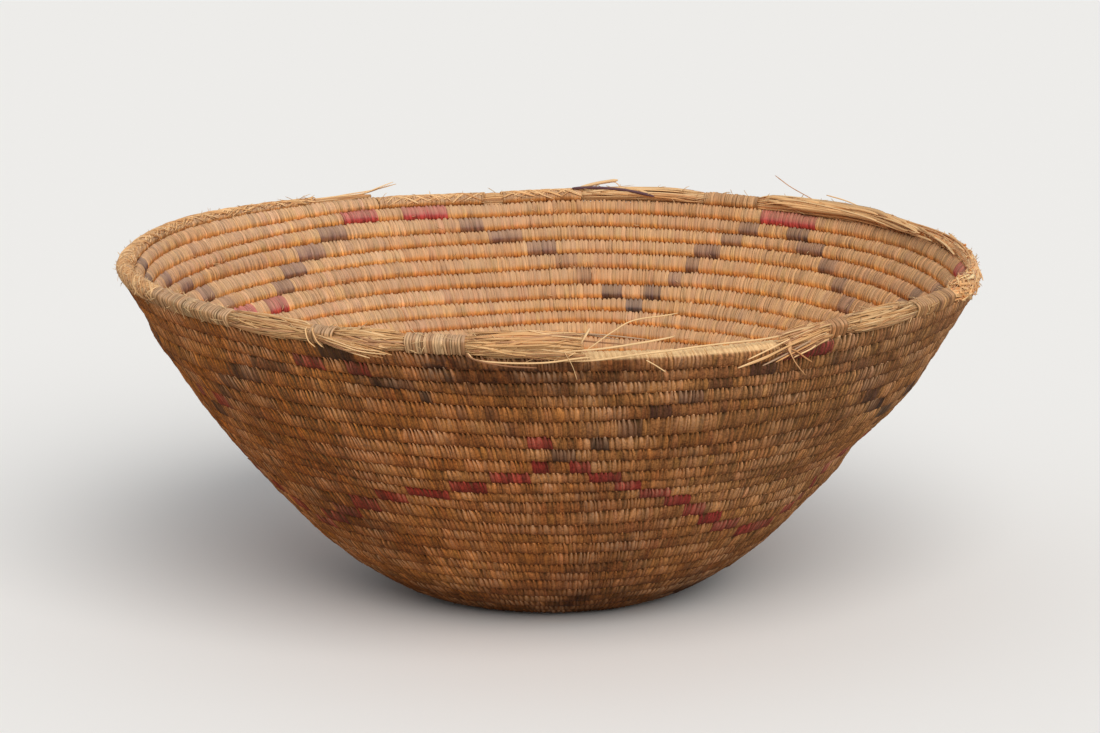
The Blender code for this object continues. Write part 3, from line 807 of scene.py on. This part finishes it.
def smooth_path(places, steps):
    """A smooth curve of so many points through a few places."""
    places = np.asarray(places, float)
    ends = np.concatenate([2 * places[:1] - places[1:2], places, 2 * places[-1:] - places[-2:-1]])
    at = np.linspace(0, len(places) - 1, steps)
    index = np.minimum(at.astype(int), len(places) - 2)
    share = (at - index)[:, None]
    before, first, second, after = (ends[index + step] for step in range(4))
    return 0.5 * (2 * first + (second - before) * share
                  + (2 * before - 5 * first + 4 * second - after) * share ** 2
                  + (3 * first - before - 3 * second + after) * share ** 3)


class Bunch:
    """Stems and strips of one place on the basket, gathered into one piece."""

    def __init__(self, seed, shade=1.0):
        self.chance = np.random.default_rng(seed)
        self.shade = shade
        self.points, self.quads, self.caps, self.tones, self.cap_tones = [], [], [], [], []
        self.lay, self.groove, self.lengths = [], [], []
        self.count = 0

    def add(self, path, width, thickness=None, tone=None, outward=None, sides=5,
            ends=(0.55, 0.55), deep=0.0):
        """A stem, or a strip where its thickness is less than its width, along a path."""
        path = np.asarray(path, float)
        rings = len(path)
        thickness = width if thickness is None else thickness
        if tone is None:
            tone = pick_tone(self.chance, STEM_TONES, 0.8, 1.1) * self.shade
        along = np.gradient(path, axis=0)
        along = along / np.maximum(np.linalg.norm(along, axis=1, keepdims=True), 1e-9)
        outward = np.tile((0.0, 0.0, 1.0), (rings, 1)) if outward is None else outward
        side = np.cross(along, outward)
        side = side / np.maximum(np.linalg.norm(side, axis=1, keepdims=True), 1e-9)
        face = np.cross(side, along)
        travelled = travelled_along(path)
        share = travelled / travelled[-1]
        slim = np.minimum(1, ends[0] + (1 - ends[0]) * share / 0.06)
        slim = np.minimum(slim, ends[1] + (1 - ends[1]) * (1 - share) / 0.10)[:, None, None]
        angle = 2 * math.pi * (np.arange(sides) + 0.5) / sides
        ring = side[:, None] * np.cos(angle)[None, :, None] * width / 2
        ring = ring + face[:, None] * np.sin(angle)[None, :, None] * thickness / 2
        points = path[:, None] + ring * slim
        quads, caps = tube_faces(self.count + np.arange(rings * sides).reshape(rings, sides))
        self.quads.append(quads)
        self.caps += caps
        self.count += rings * sides
        self.points.append(points.reshape(-1, 3))
        colour = (*np.clip(tone, 0, 0.95), self.chance.random())
        self.tones.append(np.tile(colour, (len(quads), 1)))
        self.cap_tones += [colour, colour]
        start = self.chance.uniform(0, 5)
        lay = np.broadcast_arrays(start + travelled[:, None], (angle * width / 2)[None, :], start)
        self.lay.append(np.stack(lay, -1).reshape(-1, 3))
        self.groove.append(np.tile((deep, 0.0, 0.0), (rings * sides, 1)))
        self.lengths.append((sides, share))

    def seats(self):
        """Unwrap: every stem in a lane of its own."""
        lanes = len(self.lengths)
        columns = math.ceil(math.sqrt(lanes / 6))
        rows = math.ceil(lanes / columns)
        seats = []
        for lane, (sides, share) in enumerate(self.lengths):
            left, low = lane % columns / columns, lane // columns / rows
            across = left + (0.01 + 0.98 * share) / columns
            up = low + (0.06 + 0.88 * np.arange(sides + 1) / sides) / rows
            begin, end = (np.repeat(ends[:, None], sides, 1) for ends in (across[:-1], across[1:]))
            bottom, top = (np.repeat(edge[None, :], len(share) - 1, 0) for edge in (up[:-1], up[1:]))
            seats.append(quad_seats(begin, end, bottom, top))
        spare = sum(len(cap) for cap in self.caps)
        return np.concatenate([*seats, np.tile(seats[0][:1], (spare, 1))])

    def make(self, name, finish, nodes=()):
        """The piece, with the CAD nodes that it stands for."""
        points, quads, lay, groove = map(np.concatenate, (self.points, self.quads, self.lay, self.groove))
        tones = np.concatenate([*self.tones, np.array(self.cap_tones)])
        make_piece(name, points, quads, self.caps, tones, lay, groove, self.seats(), finish, nodes)


def places_along(start, end):
    """Places on the rim between two others, close enough together to follow its curve."""
    return np.linspace(start, end, max(5, int((end - start) / 1.1)))


def waver(chance, degrees, slowest, fastest):
    """A wave along the rim, from -1 to 1, of a chance length and phase."""
    return np.sin(np.radians(degrees * chance.uniform(slowest, fastest)) + chance.uniform(0, 6))


def add_bundle(bunch, start, end, loose, outer, ragged):
    """A bare stretch of the rim's bundle: a dark heart, and two layers of stems, which wander as they go."""
    chance = bunch.chance
    degrees = places_along(start, end)
    heart = bundle_point(degrees, 0, 0.0)
    size = 2 * (HALF_ACROSS * thinning(rim_turn(degrees)).mean() - COVER) * 0.88
    bunch.add(heart, size, tone=np.array(HEART_TONE) * bunch.shade, sides=10, ends=(1, 1), deep=0.25)
    for layer, count, middle in ((0, round(outer * 0.8), 0.88), (1, outer, 0.97)):
        for number in range(count):
            angle = 2 * math.pi * (number + chance.uniform(-0.3, 0.3)) / count
            first, last = start, end
            if chance.random() < 0.16 + ragged:
                cut = chance.uniform(0.25, 0.95) * (end - start)
                first, last = (start, start + cut) if chance.random() < 0.5 else (end - cut, end)
            here = places_along(first, last)
            clear = np.minimum(1, np.minimum(here - start, end - here) / 4)
            wander = chance.uniform(0.05, 0.30) * waver(chance, here, 6, 16)
            drift = chance.uniform(-0.02, 0.02) * (here - start)
            reach = middle + 0.05 * waver(chance, here, 10, 30)
            bow = np.sin(math.pi * (here - first) / (last - first)) ** 2
            lift = loose * abs(chance.standard_normal()) * clear * bow
            turned = angle + (wander + drift) * clear
            path = bundle_point(here, reach - 0.04 * (1 - clear), turned, lift * layer)
            width = chance.uniform(0.0008, 0.0016)
            bunch.add(path, width, deep=0.25 * (1 - layer) + chance.uniform(0, 0.15))


def wound_strips(start, end, width, tones, seed):
    """Strips wound side by side round the rim's bundle, between two places."""
    chance = np.random.default_rng(seed)
    fine = np.linspace(start, end, 400)
    lengths = travelled_along(basket_point(rim_turn(fine), 0.0, 0.0))
    count = max(2, round(lengths[-1] / width))
    edges = np.cumsum(uneven_strips(chance, count))
    edges = np.concatenate([[0], edges / edges[-1] * lengths[-1]])
    shades = np.array(tones)[chance.integers(len(tones), size=count)] * chance.uniform(0.82, 1.1, (count, 1))
    colours = np.concatenate([np.clip(shades, 0, 0.95), chance.random((count, 1))], 1)
    return Strips(rim_turn(np.interp(edges, lengths, fine)), edges, colours, chance)


def wrap_rim():
    """The wraps that are left on the rim: strips wound side by side, each wrap in its own shades."""
    for name, start, end, width, tones in RIM_WRAPS:
        strips = wound_strips(start, end, width, tones, len(name) + round(start))
        sewn_length(name, strips, 0, len(strips.turns) - 1, ["rim_" + name], points_share=0.0)


def lay_false_braid():
    """Strips of the false braid that finishes the rim: matted, they cross its crown slantwise, both ways."""
    bunch = Bunch(61)
    chance = bunch.chance
    for start, end in ((0.6, 17), (20, 32), (268, 350)):
        for way, pitch, slant, rise in ((-1, 0.22, 5.0, 0.0), (1, 0.34, 6.0, 0.0003)):
            at = start
            while at < end:
                share = np.linspace(0, 1, 13)
                sweep = chance.uniform(-40, 70) + chance.uniform(90, 170) * share
                crossing = way * slant * chance.uniform(0.5, 1.3) * (share - 0.5)
                degrees = np.clip(at + crossing, start - 0.2, end + 0.2)
                turn, angle = rim_turn(degrees), np.radians(sweep)
                over = rise + (0.0002 + 0.0006 * chance.random()) * np.sin(share * math.pi) ** 0.5 - 0.0002
                across = (HALF_ACROSS * thinning(turn) + over) * np.cos(angle)
                along = (HALF_ALONG * thinning(turn) + over) * np.sin(angle)
                path = basket_point(turn, across, along)
                outward = path - basket_point(turn, 0.0, 0.0)
                tone = pick_tone(chance, BRAID_TONES, 0.84, 1.08)
                width = chance.uniform(0.0007, 0.0017)
                bunch.add(path, width, FLAKE_THICKNESS, tone, outward, ends=(0.3, 0.3))
                at += pitch * chance.uniform(0.5, 1.5)
    bunch.make("false_braid", bare_stem)


def lay_stems(bunch, stems):
    """Loose stems along given places by the rim."""
    for width, thickness, tone, *places in stems:
        path = rim_place(*smooth_path(places, 5 * len(places) + 6).T)
        bunch.add(path, width / 1000, thickness / 1000, tone, sides=6, ends=(0.6, 0.5))


def mat_stems(bunch, start, end, count, lengths, widths, angles, lift):
    """Broken stems and flakes matted over the bundle: lengths and angles in degrees, widths in metres."""
    chance = bunch.chance
    share = np.linspace(0, 1, 8)
    for _ in range(count):
        length = chance.uniform(*lengths)
        degrees = chance.uniform(start, end - length) + share * length
        bend = chance.normal(0, 30) * share + chance.normal(0, 20) * share ** 2
        angle = np.radians(chance.uniform(*angles) + bend)
        free = abs(chance.normal(0, 1)) * (share if chance.random() < 0.5 else 1 - share) ** 2
        path = bundle_point(degrees, 1.0, angle, 0.0004 + lift * (free + 0.5 * chance.random()))
        outward = path - bundle_point(degrees, 0.0, angle)
        tone = pick_tone(chance, STEM_TONES, 0.85, 1.15) * bunch.shade
        bunch.add(path, chance.uniform(*widths), FLAKE_THICKNESS, tone, outward, ends=(0.5, 0.4))


# Where straws slip down inside the rim: millimetres out and up, from the crown to the row below, how far
# down these they go, and how deep their first ends are sunk under the wrap
SLIPPED_OUT = (2, -3.2, -6.4, -9.6)
SLIPPED_UP = (7.4, 7.2, 3.6, -2.2)
FURTHEST_SLIP = 2.2
SUNK_START = 5.5


def slip_straws(bunch, count, starts, lengths, slides, widths):
    """Wide pale straws that have slipped off the bundle and lie slantwise down its inside."""
    chance = bunch.chance
    for _ in range(count):
        degrees = chance.uniform(*starts) + np.linspace(0, chance.uniform(*lengths), 14)
        share = np.linspace(0, 1, 14)
        slide = chance.uniform(0, 2.1) + share * chance.uniform(*slides)
        place = np.clip(slide + 0.08 * np.sin(share * chance.uniform(3, 9)), 0, FURTHEST_SLIP)
        out = np.interp(place, range(4), SLIPPED_OUT)
        up = np.interp(place, range(4), SLIPPED_UP) - 1000 * worn_away(degrees)
        stand = chance.uniform(0.2, 1.2) + 1.2 * abs(chance.normal()) * share ** 2
        stand = stand - SUNK_START * np.clip(1 - share / 0.18, 0, 1)
        path = rim_place(degrees, out - 0.6 * stand, up + 0.7 * stand)
        outward = rim_place(degrees, out - 1.0, up + 1.0) - rim_place(degrees, out, up)
        tone = np.array(STRAW_TONES[5]) * chance.uniform(0.74, 1.05)
        bunch.add(path, chance.uniform(*widths), STRAW_THICKNESS, tone, outward, ends=(0.6, 0.3))


# Loose stems: width and thickness in millimetres, tone, and places along each, in degrees along the rim and
# millimetres out from its middle line and up
FRONT_STEMS = (
    (2.2, 1.4, PALE_STEM, (214, 4, 0), (212.8, 4, -1.3), (207.3, 6, -2.5), (202, 6, -0.9), (195.8, 3, 3.8),
     (190.8, -6, 6.4)),
    (1.6, 1.2, PALE_STEM, (216.6, 6, -4), (215, 8, -8.3), (207.9, 9, -8.9), (201.8, 8, -4.9)),
    (1.3, 1.1, BROWN_STEM, (216.8, 6, -4), (215.6, 9, -7.5), (212.1, 9, -10.9), (208.3, 9, -12)),
    (2, 0.8, PALE_STEM, (204.6, 6.5, -5.5), (203.8, 6, -2.5), (202.8, 2, 4.4), (201.8, -4, 11)),
    (1.1, 0.9, FRESH_TONE, (202.5, 4, -2), (201.1, 3, 3.1), (199.1, 0, 9.8), (196, -6, 16.6),
     (189.7, -16, 18.9)),
    (1.4, 1.2, PALE_STEM, (205, 7, -8.5), (201.1, 6, -7.1), (194.6, 5, -2), (186.8, 2, 1.1),
     (176.2, 0, 1.6), (169.6, 0, 2.1)),
    (1.1, 0.8, PALE_STEM, (195.2, 8, -6), (194.2, 9, -8.7), (192.9, 10, -12.9)),
    (0.4, 0.4, FRESH_TONE, (205.2, 7, -1.1), (204.2, 11, -9.7), (203.6, 12, -18.9)),
    (1, 1, GREY_STEM, (217.1, 2, 0.3), (212.8, 0, 4.4), (206.7, -4, 6.4), (200.5, -6, 6.6),
     (194.1, -6, 4.2)),
    (1, 1, GREY_STEM, (217.1, 0, 1.3), (212.8, -2, 5.4), (206.7, -5, 7), (202.5, -7, 6.2),
     (198.1, -7, 3.6)),
    (1.1, 1, BROWN_STEM, (217.1, 1, 1), (211.8, 1, 4), (206.7, -1, 4.4), (202.5, -1, 3.2),
     (197.1, -2, 1.6)),
)
LEFT_KNOT_STEMS = (
    (1.1, 0.9, PALE_STEM, (237, 4, -1), (234.3, 6, -4.8), (231.3, 8, -7.4), (228.6, 9, -9.8)),
    (1, 0.9, STEM_TONES[0], (236, 4, -2), (233.3, 7, -5.8), (230.3, 8, -6.4)),
    (1.2, 0.6, STEM_TONES[0], (238, 3.5, 4), (237.8, 6.2, 2.1), (237.2, 7.6, -3.4), (236.2, 7.6, -7)),
    (1.2, 0.6, STEM_TONES[1], (237, 3.5, 4.4), (236.8, 6, 2.8), (236, 7.4, -3), (235.2, 7.6, -6.4)),
    (1.3, 0.8, PALE_STEM, (236.5, 5, -1), (233, 7, -3.6), (230, 8.5, -6.2), (226.6, 8.5, -6.8)),
    (1, 0.8, STEM_TONES[3], (236.8, 5, 1), (233.5, 7, -1.6), (230.6, 8, -4.4), (227.4, 8.5, -5.2)),
    (0.9, 0.8, BROWN_STEM, (236.5, 5, -2), (234, 7, -4.6), (232, 8, -6.6), (229.8, 8.5, -8.2)),
    (1.4, 1.1, PALE_STEM, (251.4, 3, 1.8), (245.7, 1, 5.1), (239.9, -2, 6.2), (237.6, 0, 4.2)),
    (1.2, 1, PALE_STEM, (250.4, 0, 3.8), (244.7, -1, 6.1), (239.9, -3, 5.6), (237.6, -2, 3.9)),
)
TUFT_STEMS = (
    (2, 1.4, PALE_STEM, (170.2, 3, 2), (174.8, 6, -1.7), (179.3, 8, -7.4), (183.7, 9, -13.3)),
    (1.8, 1.2, STEM_TONES[6], (170.6, 5, 1.6), (176.6, 9, -2.9), (180.3, 11, -8.1), (183, 12, -11.7)),
    (1.4, 1.1, PALE_STEM, (170.2, 2, 3), (174.8, 4, 1.2), (179.3, 6, -4.4), (182.2, 7, -9)),
    (1.4, 1.2, GREY_STEM, (170.2, 4, 0), (174, 7, -4), (177.3, 9, -8.4), (180.5, 10, -13)),
    (1.6, 1.2, STEM_TONES[2], (170.4, 5, -1), (173, 7, -4.6), (176.3, 9, -8.4), (178.7, 10, -12)),
    (1.2, 1, BROWN_STEM, (170.4, 5, -2), (172.4, 7, -5.6), (174.6, 8, -8.2), (176.8, 9, -10.5)),
    (3, 0.7, srgb(208, 158, 108), (176.4, 7, -1), (176.8, 10, -5.5), (176.4, 12, -12.5),
     (175.7, 13.5, -18.5), (175.1, 14, -22.3)),
    (1.5, 1, srgb(196, 142, 92), (176.6, 8.5, -5), (175.7, 10, -7.9), (174.6, 11, -12.6),
     (173.7, 11, -15.9)),
    (1.5, 1, PALE_STEM, (176, 8, -11.6), (175.2, 9, -9.9), (173.7, 9, -7.9), (172.8, 8.5, -6.2)),
)
RIGHT_STRAWS = (
    (3, 1, PALE_STEM, (59, 0, 3.4), (62, 0, 7.4), (67.1, 0, 8.6), (76.6, 0, 8.1), (84, -1, 6)),
    (3.4, 1, PALE_STEM, (66, -1, 6.4), (73, -1, 8.6), (80.6, -2, 7.1), (87.5, -3, 4.4), (92, -4, 1.5)),
    (2.8, 1, STEM_TONES[3], (59.4, 2, 3), (66.6, 2, 7), (76.6, 2, 7), (87.5, 1, 4.6), (98.2, 0, 1.8)),
    (2.6, 1, STEM_TONES[0], (76, -4, 5), (83.1, -6, 5.2), (89.9, -7, 3.4), (95, -8, 1)),
    (2.8, 1, PALE_STEM, (84, -3, 3), (90, -3, 3.4), (97, -4, 1.2), (104, -5, 0), (109, -6, -1.6)),
    (2.4, 1, STEM_TONES[1], (86, 2, 4.2), (93, 2, 3), (100, 1, 1.4), (108, 0, 1.2), (114, 0, 0.8)),
    (2.2, 0.9, FRESH_TONE, (60, -3, 2.6), (66, -5, 6.9), (71.8, -6, 6.4), (80, -8, 4), (86, -9, 1)),
    (0.9, 0.7, STEM_TONES[5], (62.6, 0, 23), (65.3, 0, 15.9), (68.6, 0, 9.9), (71, 0, 6)),
    (1.4, 1, PALE_STEM, (71.9, 0, 13.2), (75.6, 0, 11.1), (78.6, 0, 8.1), (82, 0, 5.4)),
    (1.6, 1, STEM_TONES[2], (104, 0, 3.2), (110, 1, 2.6), (116, 1, 1.6), (121, 3, -0.6), (124, 5, -4)),
    (1.3, 1, PALE_STEM, (112, 1, 2.8), (117, 2, 2.2), (122, 4, 0), (126, 7, -3)),
    (1.3, 1, STEM_TONES[0], (120, 2, 1.6), (126, 4, 0.6), (131, 6, -2), (134, 7, -6)),
)
BACK_STEMS = (
    (1.2, 2.2, DARK_STRIP, (30.6, -3, 5.9), (34, -4, 6.3), (38, -5.6, 5.4), (41, -7.2, 3.6),
     (43.4, -8.4, 1.4)),
    (2.8, 2.6, PALE_STEM, (31.6, -1, 5.4), (33.2, -1, 7.8), (35, 0, 9.6), (37.4, 0, 11.6)),
    (1.1, 0.7, FRESH_TONE, (33.2, 0, 4.1), (35.2, 0, 9.7), (37, 0, 9.9), (38.1, 0, 4.6)),
    (1.6, 0.9, PALE_STEM, (350, 0, 1), (353, 0, 2), (358.1, 0, 2.2), (361, 0, 6), (363.4, 0, 9.6)),
    (1.6, 0.9, STEM_TONES[3], (351, 1, 0.5), (355.6, 1, 2.4), (360, 1, 4.1), (364, 2, 7.6)),
    (1.4, 1, PALE_STEM, (350.5, 2, -1), (354, 2, 0.6), (358, 2, 1.2), (362, 3, 5.4)),
)


def fan_stems(bunch, count):
    """Stems that fan out from the knot at the left, below the bundle, down over the row under the rim."""
    chance = bunch.chance
    for _ in range(count):
        start, reach, low = chance.uniform(234.6, 236.4), chance.uniform(4, 9.5), chance.uniform(0, 1)
        share = np.linspace(0, 1, 7)
        out = 4.4 + 2.6 * share + chance.uniform(-0.4, 0.5) + 1.2 * low
        up = 0.6 - (2.4 + 5.6 * low) * share - chance.uniform(0, 3.0) * low
        bunch.add(rim_place(start - share * reach, out, up), chance.uniform(0.0007, 0.0014), ends=(0.8, 0.4))


def break_stems(bunch, count):
    """The stubble where the rim has broken off: stems of every length, splayed a little, with worn ends."""
    chance = bunch.chance
    share = np.linspace(0, 1, 7)
    for _ in range(count):
        out, up = chance.uniform(-5, 7), chance.uniform(-5, 6)
        length = chance.uniform(1.2, 4.6)
        degrees = chance.uniform(169.8, 173.6) + share * length
        out = out * (1 - 0.15 * share) + share * length * chance.uniform(-0.1, 0.6)
        up = up - share * length * chance.uniform(-0.1, 0.8) - share ** 2 * chance.uniform(0, 2.5)
        bunch.add(rim_place(degrees, out, up), chance.uniform(0.0007, 0.0015), ends=(0.8, 0.6))


def numbered(name, count):
    """Names of like nodes, numbered from 1."""
    return tuple(f"{name}_{number}" for number in range(1, count + 1))


# Bare stretches of the rim: name, start and end, lightness, how far its stems lift off, how many are in its
# outer layer, the share of broken ones, its loose stems, what is matted over it, and the nodes it replaces
BARE_STRETCHES = (
    ("bare_window", 16.6, 20.4, 1.0, 0.0, 26, 0.0, (), (), ()),
    ("bare_stems_back", 31.6, 51.4, 1.0, 0.0004, 26, 0.1, BACK_STEMS[:3],
     ((31.8, 51.2, 26, (5, 14), (0.0010, 0.0022), (30, 200), 0.0004),),
     ("loose_stem_back_1",)),
    # The right stretch is made lighter: painted light against the shadows that its straws and chaff throw
    ("bare_stems_right", 59.6, 142.4, 1.22, 0.0010, 30, 0.35, RIGHT_STRAWS,
     ((84, 142.2, 130, (3, 11), (0.0014, 0.0032), (-40, 220), 0.0011),
      (82, 141.0, 420, (1.2, 4.2), (0.0008, 0.0024), (-50, 230), 0.0012)),
     ("rim_bundle", *numbered("frayed_stem_right", 3), "loose_stem_back_2")),
    ("bare_stems_front_right", 152.6, 167.4, 0.82, 0.0006, 28, 0.05, (),
     ((152.8, 167.2, 80, (4, 12), (0.0007, 0.0016), (-50, 190), 0.0005),), ()),
    ("broken_stems", 170.1, 175.6, 0.95, 0.0006, 26, 0.9, TUFT_STEMS, (),
     numbered("tuft_stem", 5)),
    ("bare_stems_front", 203.0, 217.4, 0.99, 0.0014, 42, 0.25, FRONT_STEMS,
     ((202.5, 217.2, 150, (4, 13), (0.0007, 0.0018), (-70, 200), 0.0011),),
     numbered("loose_stem_front", 4)),
    ("bare_stems_front_left", 224.1, 234.4, 0.92, 0.0005, 38, 0.1, (),
     ((224.2, 234.3, 60, (3, 9), (0.0007, 0.0015), (-60, 190), 0.0005),), ()),
    ("bare_stems_left", 237.1, 251.4, 0.92, 0.0005, 28, 0.1, LEFT_KNOT_STEMS,
     ((237.3, 251.2, 60, (4, 11), (0.0007, 0.0015), (-60, 190), 0.0005),), ()),
    ("coil_end", 349.6, 359.8, 1.0, 0.0004, 18, 0.4, BACK_STEMS[3:], (),
     numbered("frayed_stem_end", 2)),
)


def build_rim():
    """The bare bundle between the wraps, piece by piece, and what has broken loose from it."""
    for name, start, end, shade, loose, outer, ragged, stems, mats, nodes in BARE_STRETCHES:
        bunch = Bunch(round(start), shade)
        add_bundle(bunch, start, end, loose, outer, ragged)
        lay_stems(bunch, stems)
        if name == "bare_stems_right":
            slip_straws(bunch, 44, (60.2, 74), (9, 21), (0.2, 1.6), (0.0018, 0.0040))
            slip_straws(bunch, 20, (72, 88), (6, 12), (0.0, 0.8), (0.0016, 0.0030))
        for mat in mats:
            mat_stems(bunch, *mat)
        if name == "broken_stems":
            break_stems(bunch, 230)
        if name == "bare_stems_front_left":
            fan_stems(bunch, 34)
        bunch.make(name, bare_stem, nodes)


# Worn fibres: how many stand off the rows inside, and how many lie between two places on the rim
INSIDE_FIBRES = 520
RIM_FIBRES = ((0.6, 60, 90), (60, 142, 260), (142, 168, 50), (202, 250, 90), (250, 350, 260))


def lay_fibre(bunch, path, widest):
    """One short fibre that has worn loose."""
    tone = np.array(FRESH_TONE) * bunch.chance.uniform(0.7, 1.05)
    bunch.add(path, bunch.chance.uniform(0.0003, widest), tone=tone, sides=3, ends=(1, 0.4))


def lay_fibres():
    """Short fibres that have worn loose: along the lower edges of the rows inside, and all round the rim."""
    bunch = Bunch(77)
    chance = bunch.chance
    share = np.linspace(0, 1, 5)
    for _ in range(INSIDE_FIBRES):
        turn = chance.uniform(17, 33.9) + share * chance.normal(0, 0.0016)
        stand = 0.0002 + chance.uniform(0.0006, 0.0028) * share
        down = -HALF_ALONG * chance.uniform(0.5, 1.0) + chance.normal(0, 0.0022) * share
        inward = -HALF_ACROSS * chance.uniform(0.75, 0.98) - stand
        lay_fibre(bunch, basket_point(turn, inward, down + 0.0012 * share ** 2), 0.0006)
    for start, end, count in RIM_FIBRES:
        for _ in range(count):
            angle = math.radians(chance.uniform(-60, 230))
            degrees = chance.uniform(start, end) + share * chance.normal(0, 1.1)
            lift = 0.0006 + chance.uniform(0.0008, 0.0046) * share
            lay_fibre(bunch, bundle_point(degrees, 1.0, angle + share * chance.normal(0, 0.3), lift), 0.0007)
    bunch.make("loose_fibres", bare_stem)


wrap_rim()
lay_false_braid()
build_rim()
lay_fibres()


# The plain surroundings: floor as seen and as it lights the basket, light from all round, and a lamp
FLOOR_REACH = 24.0
FLOOR_TONE = srgb(243, 241, 238)
FLOOR_BOUNCE = srgb(174, 162, 146)
SKY_TONE = (0.94, 0.97, 1.0)
SKY_STRENGTH = 0.5
LAMP_STRENGTH = 2.3
LAMP_TONE = (1.0, 0.98, 0.95)
LAMP_SPREAD = math.radians(50)
LAMP_TILT = (math.radians(45), math.radians(18), 0)


def lay_floor():
    """A plain pale floor, which throws only a little light back at the basket."""
    mesh = bpy.data.meshes.new("studio_floor")
    corners = [(x * FLOOR_REACH, y * FLOOR_REACH, 0) for x, y in ((-1, -1), (1, -1), (1, 1), (-1, 1))]
    mesh.from_pydata(corners, [], [(0, 1, 2, 3)])
    floor = bpy.data.objects.new("studio_floor", mesh)
    bpy.context.scene.collection.objects.link(floor)
    finish = Finish("pale_floor")
    seen = finish.node("ShaderNodeLightPath", output=0)
    finish.set("Base Color", finish.blend(seen, FLOOR_BOUNCE, FLOOR_TONE))
    finish.shader.inputs["Roughness"].default_value = 0.9
    mesh.materials.append(finish.material)


def set_lights():
    """Plain soft studio light: an even bright room, and a broad light from high up on the right."""
    world = bpy.data.worlds.new("studio")
    world.use_nodes = True
    backdrop = world.node_tree.nodes["Background"]
    backdrop.inputs["Color"].default_value = (*SKY_TONE, 1)
    backdrop.inputs["Strength"].default_value = SKY_STRENGTH
    bpy.context.scene.world = world
    data = bpy.data.lights.new("high_lamp", "SUN")
    data.energy = LAMP_STRENGTH
    data.angle = LAMP_SPREAD
    data.color = LAMP_TONE
    lamp = bpy.data.objects.new("high_lamp", data)
    lamp.rotation_euler = LAMP_TILT
    bpy.context.scene.collection.objects.link(lamp)


# The camera, from a fit to the rounds and outline in the photograph
VIEW_DISTANCE = 2.8725
VIEW_HEIGHT_ANGLE = 0.18838
VIEW_PITCH = 0.21387
VIEW_YAW = -0.00036
VIEW_TARGET_HEIGHT = 0.2272
LENS_PIXELS = 4174.14
PHOTO_WIDTH = 1100
FILM_WIDTH = 36.0


def set_camera():
    """The camera that sees the basket as the photograph does."""
    data = bpy.data.cameras.new("view")
    data.sensor_width = FILM_WIDTH
    data.lens = LENS_PIXELS * FILM_WIDTH / PHOTO_WIDTH
    data.clip_end = 100.0
    camera = bpy.data.objects.new("view", data)
    away = VIEW_DISTANCE * math.cos(VIEW_HEIGHT_ANGLE)
    camera.location = (0, -away, VIEW_TARGET_HEIGHT + VIEW_DISTANCE * math.sin(VIEW_HEIGHT_ANGLE))
    camera.rotation_euler = (math.pi / 2 - VIEW_PITCH, 0, -VIEW_YAW)
    bpy.context.scene.collection.objects.link(camera)
    bpy.context.scene.camera = camera


lay_floor()
set_lights()
set_camera()
bpy.context.scene.view_settings.view_transform = "Standard"
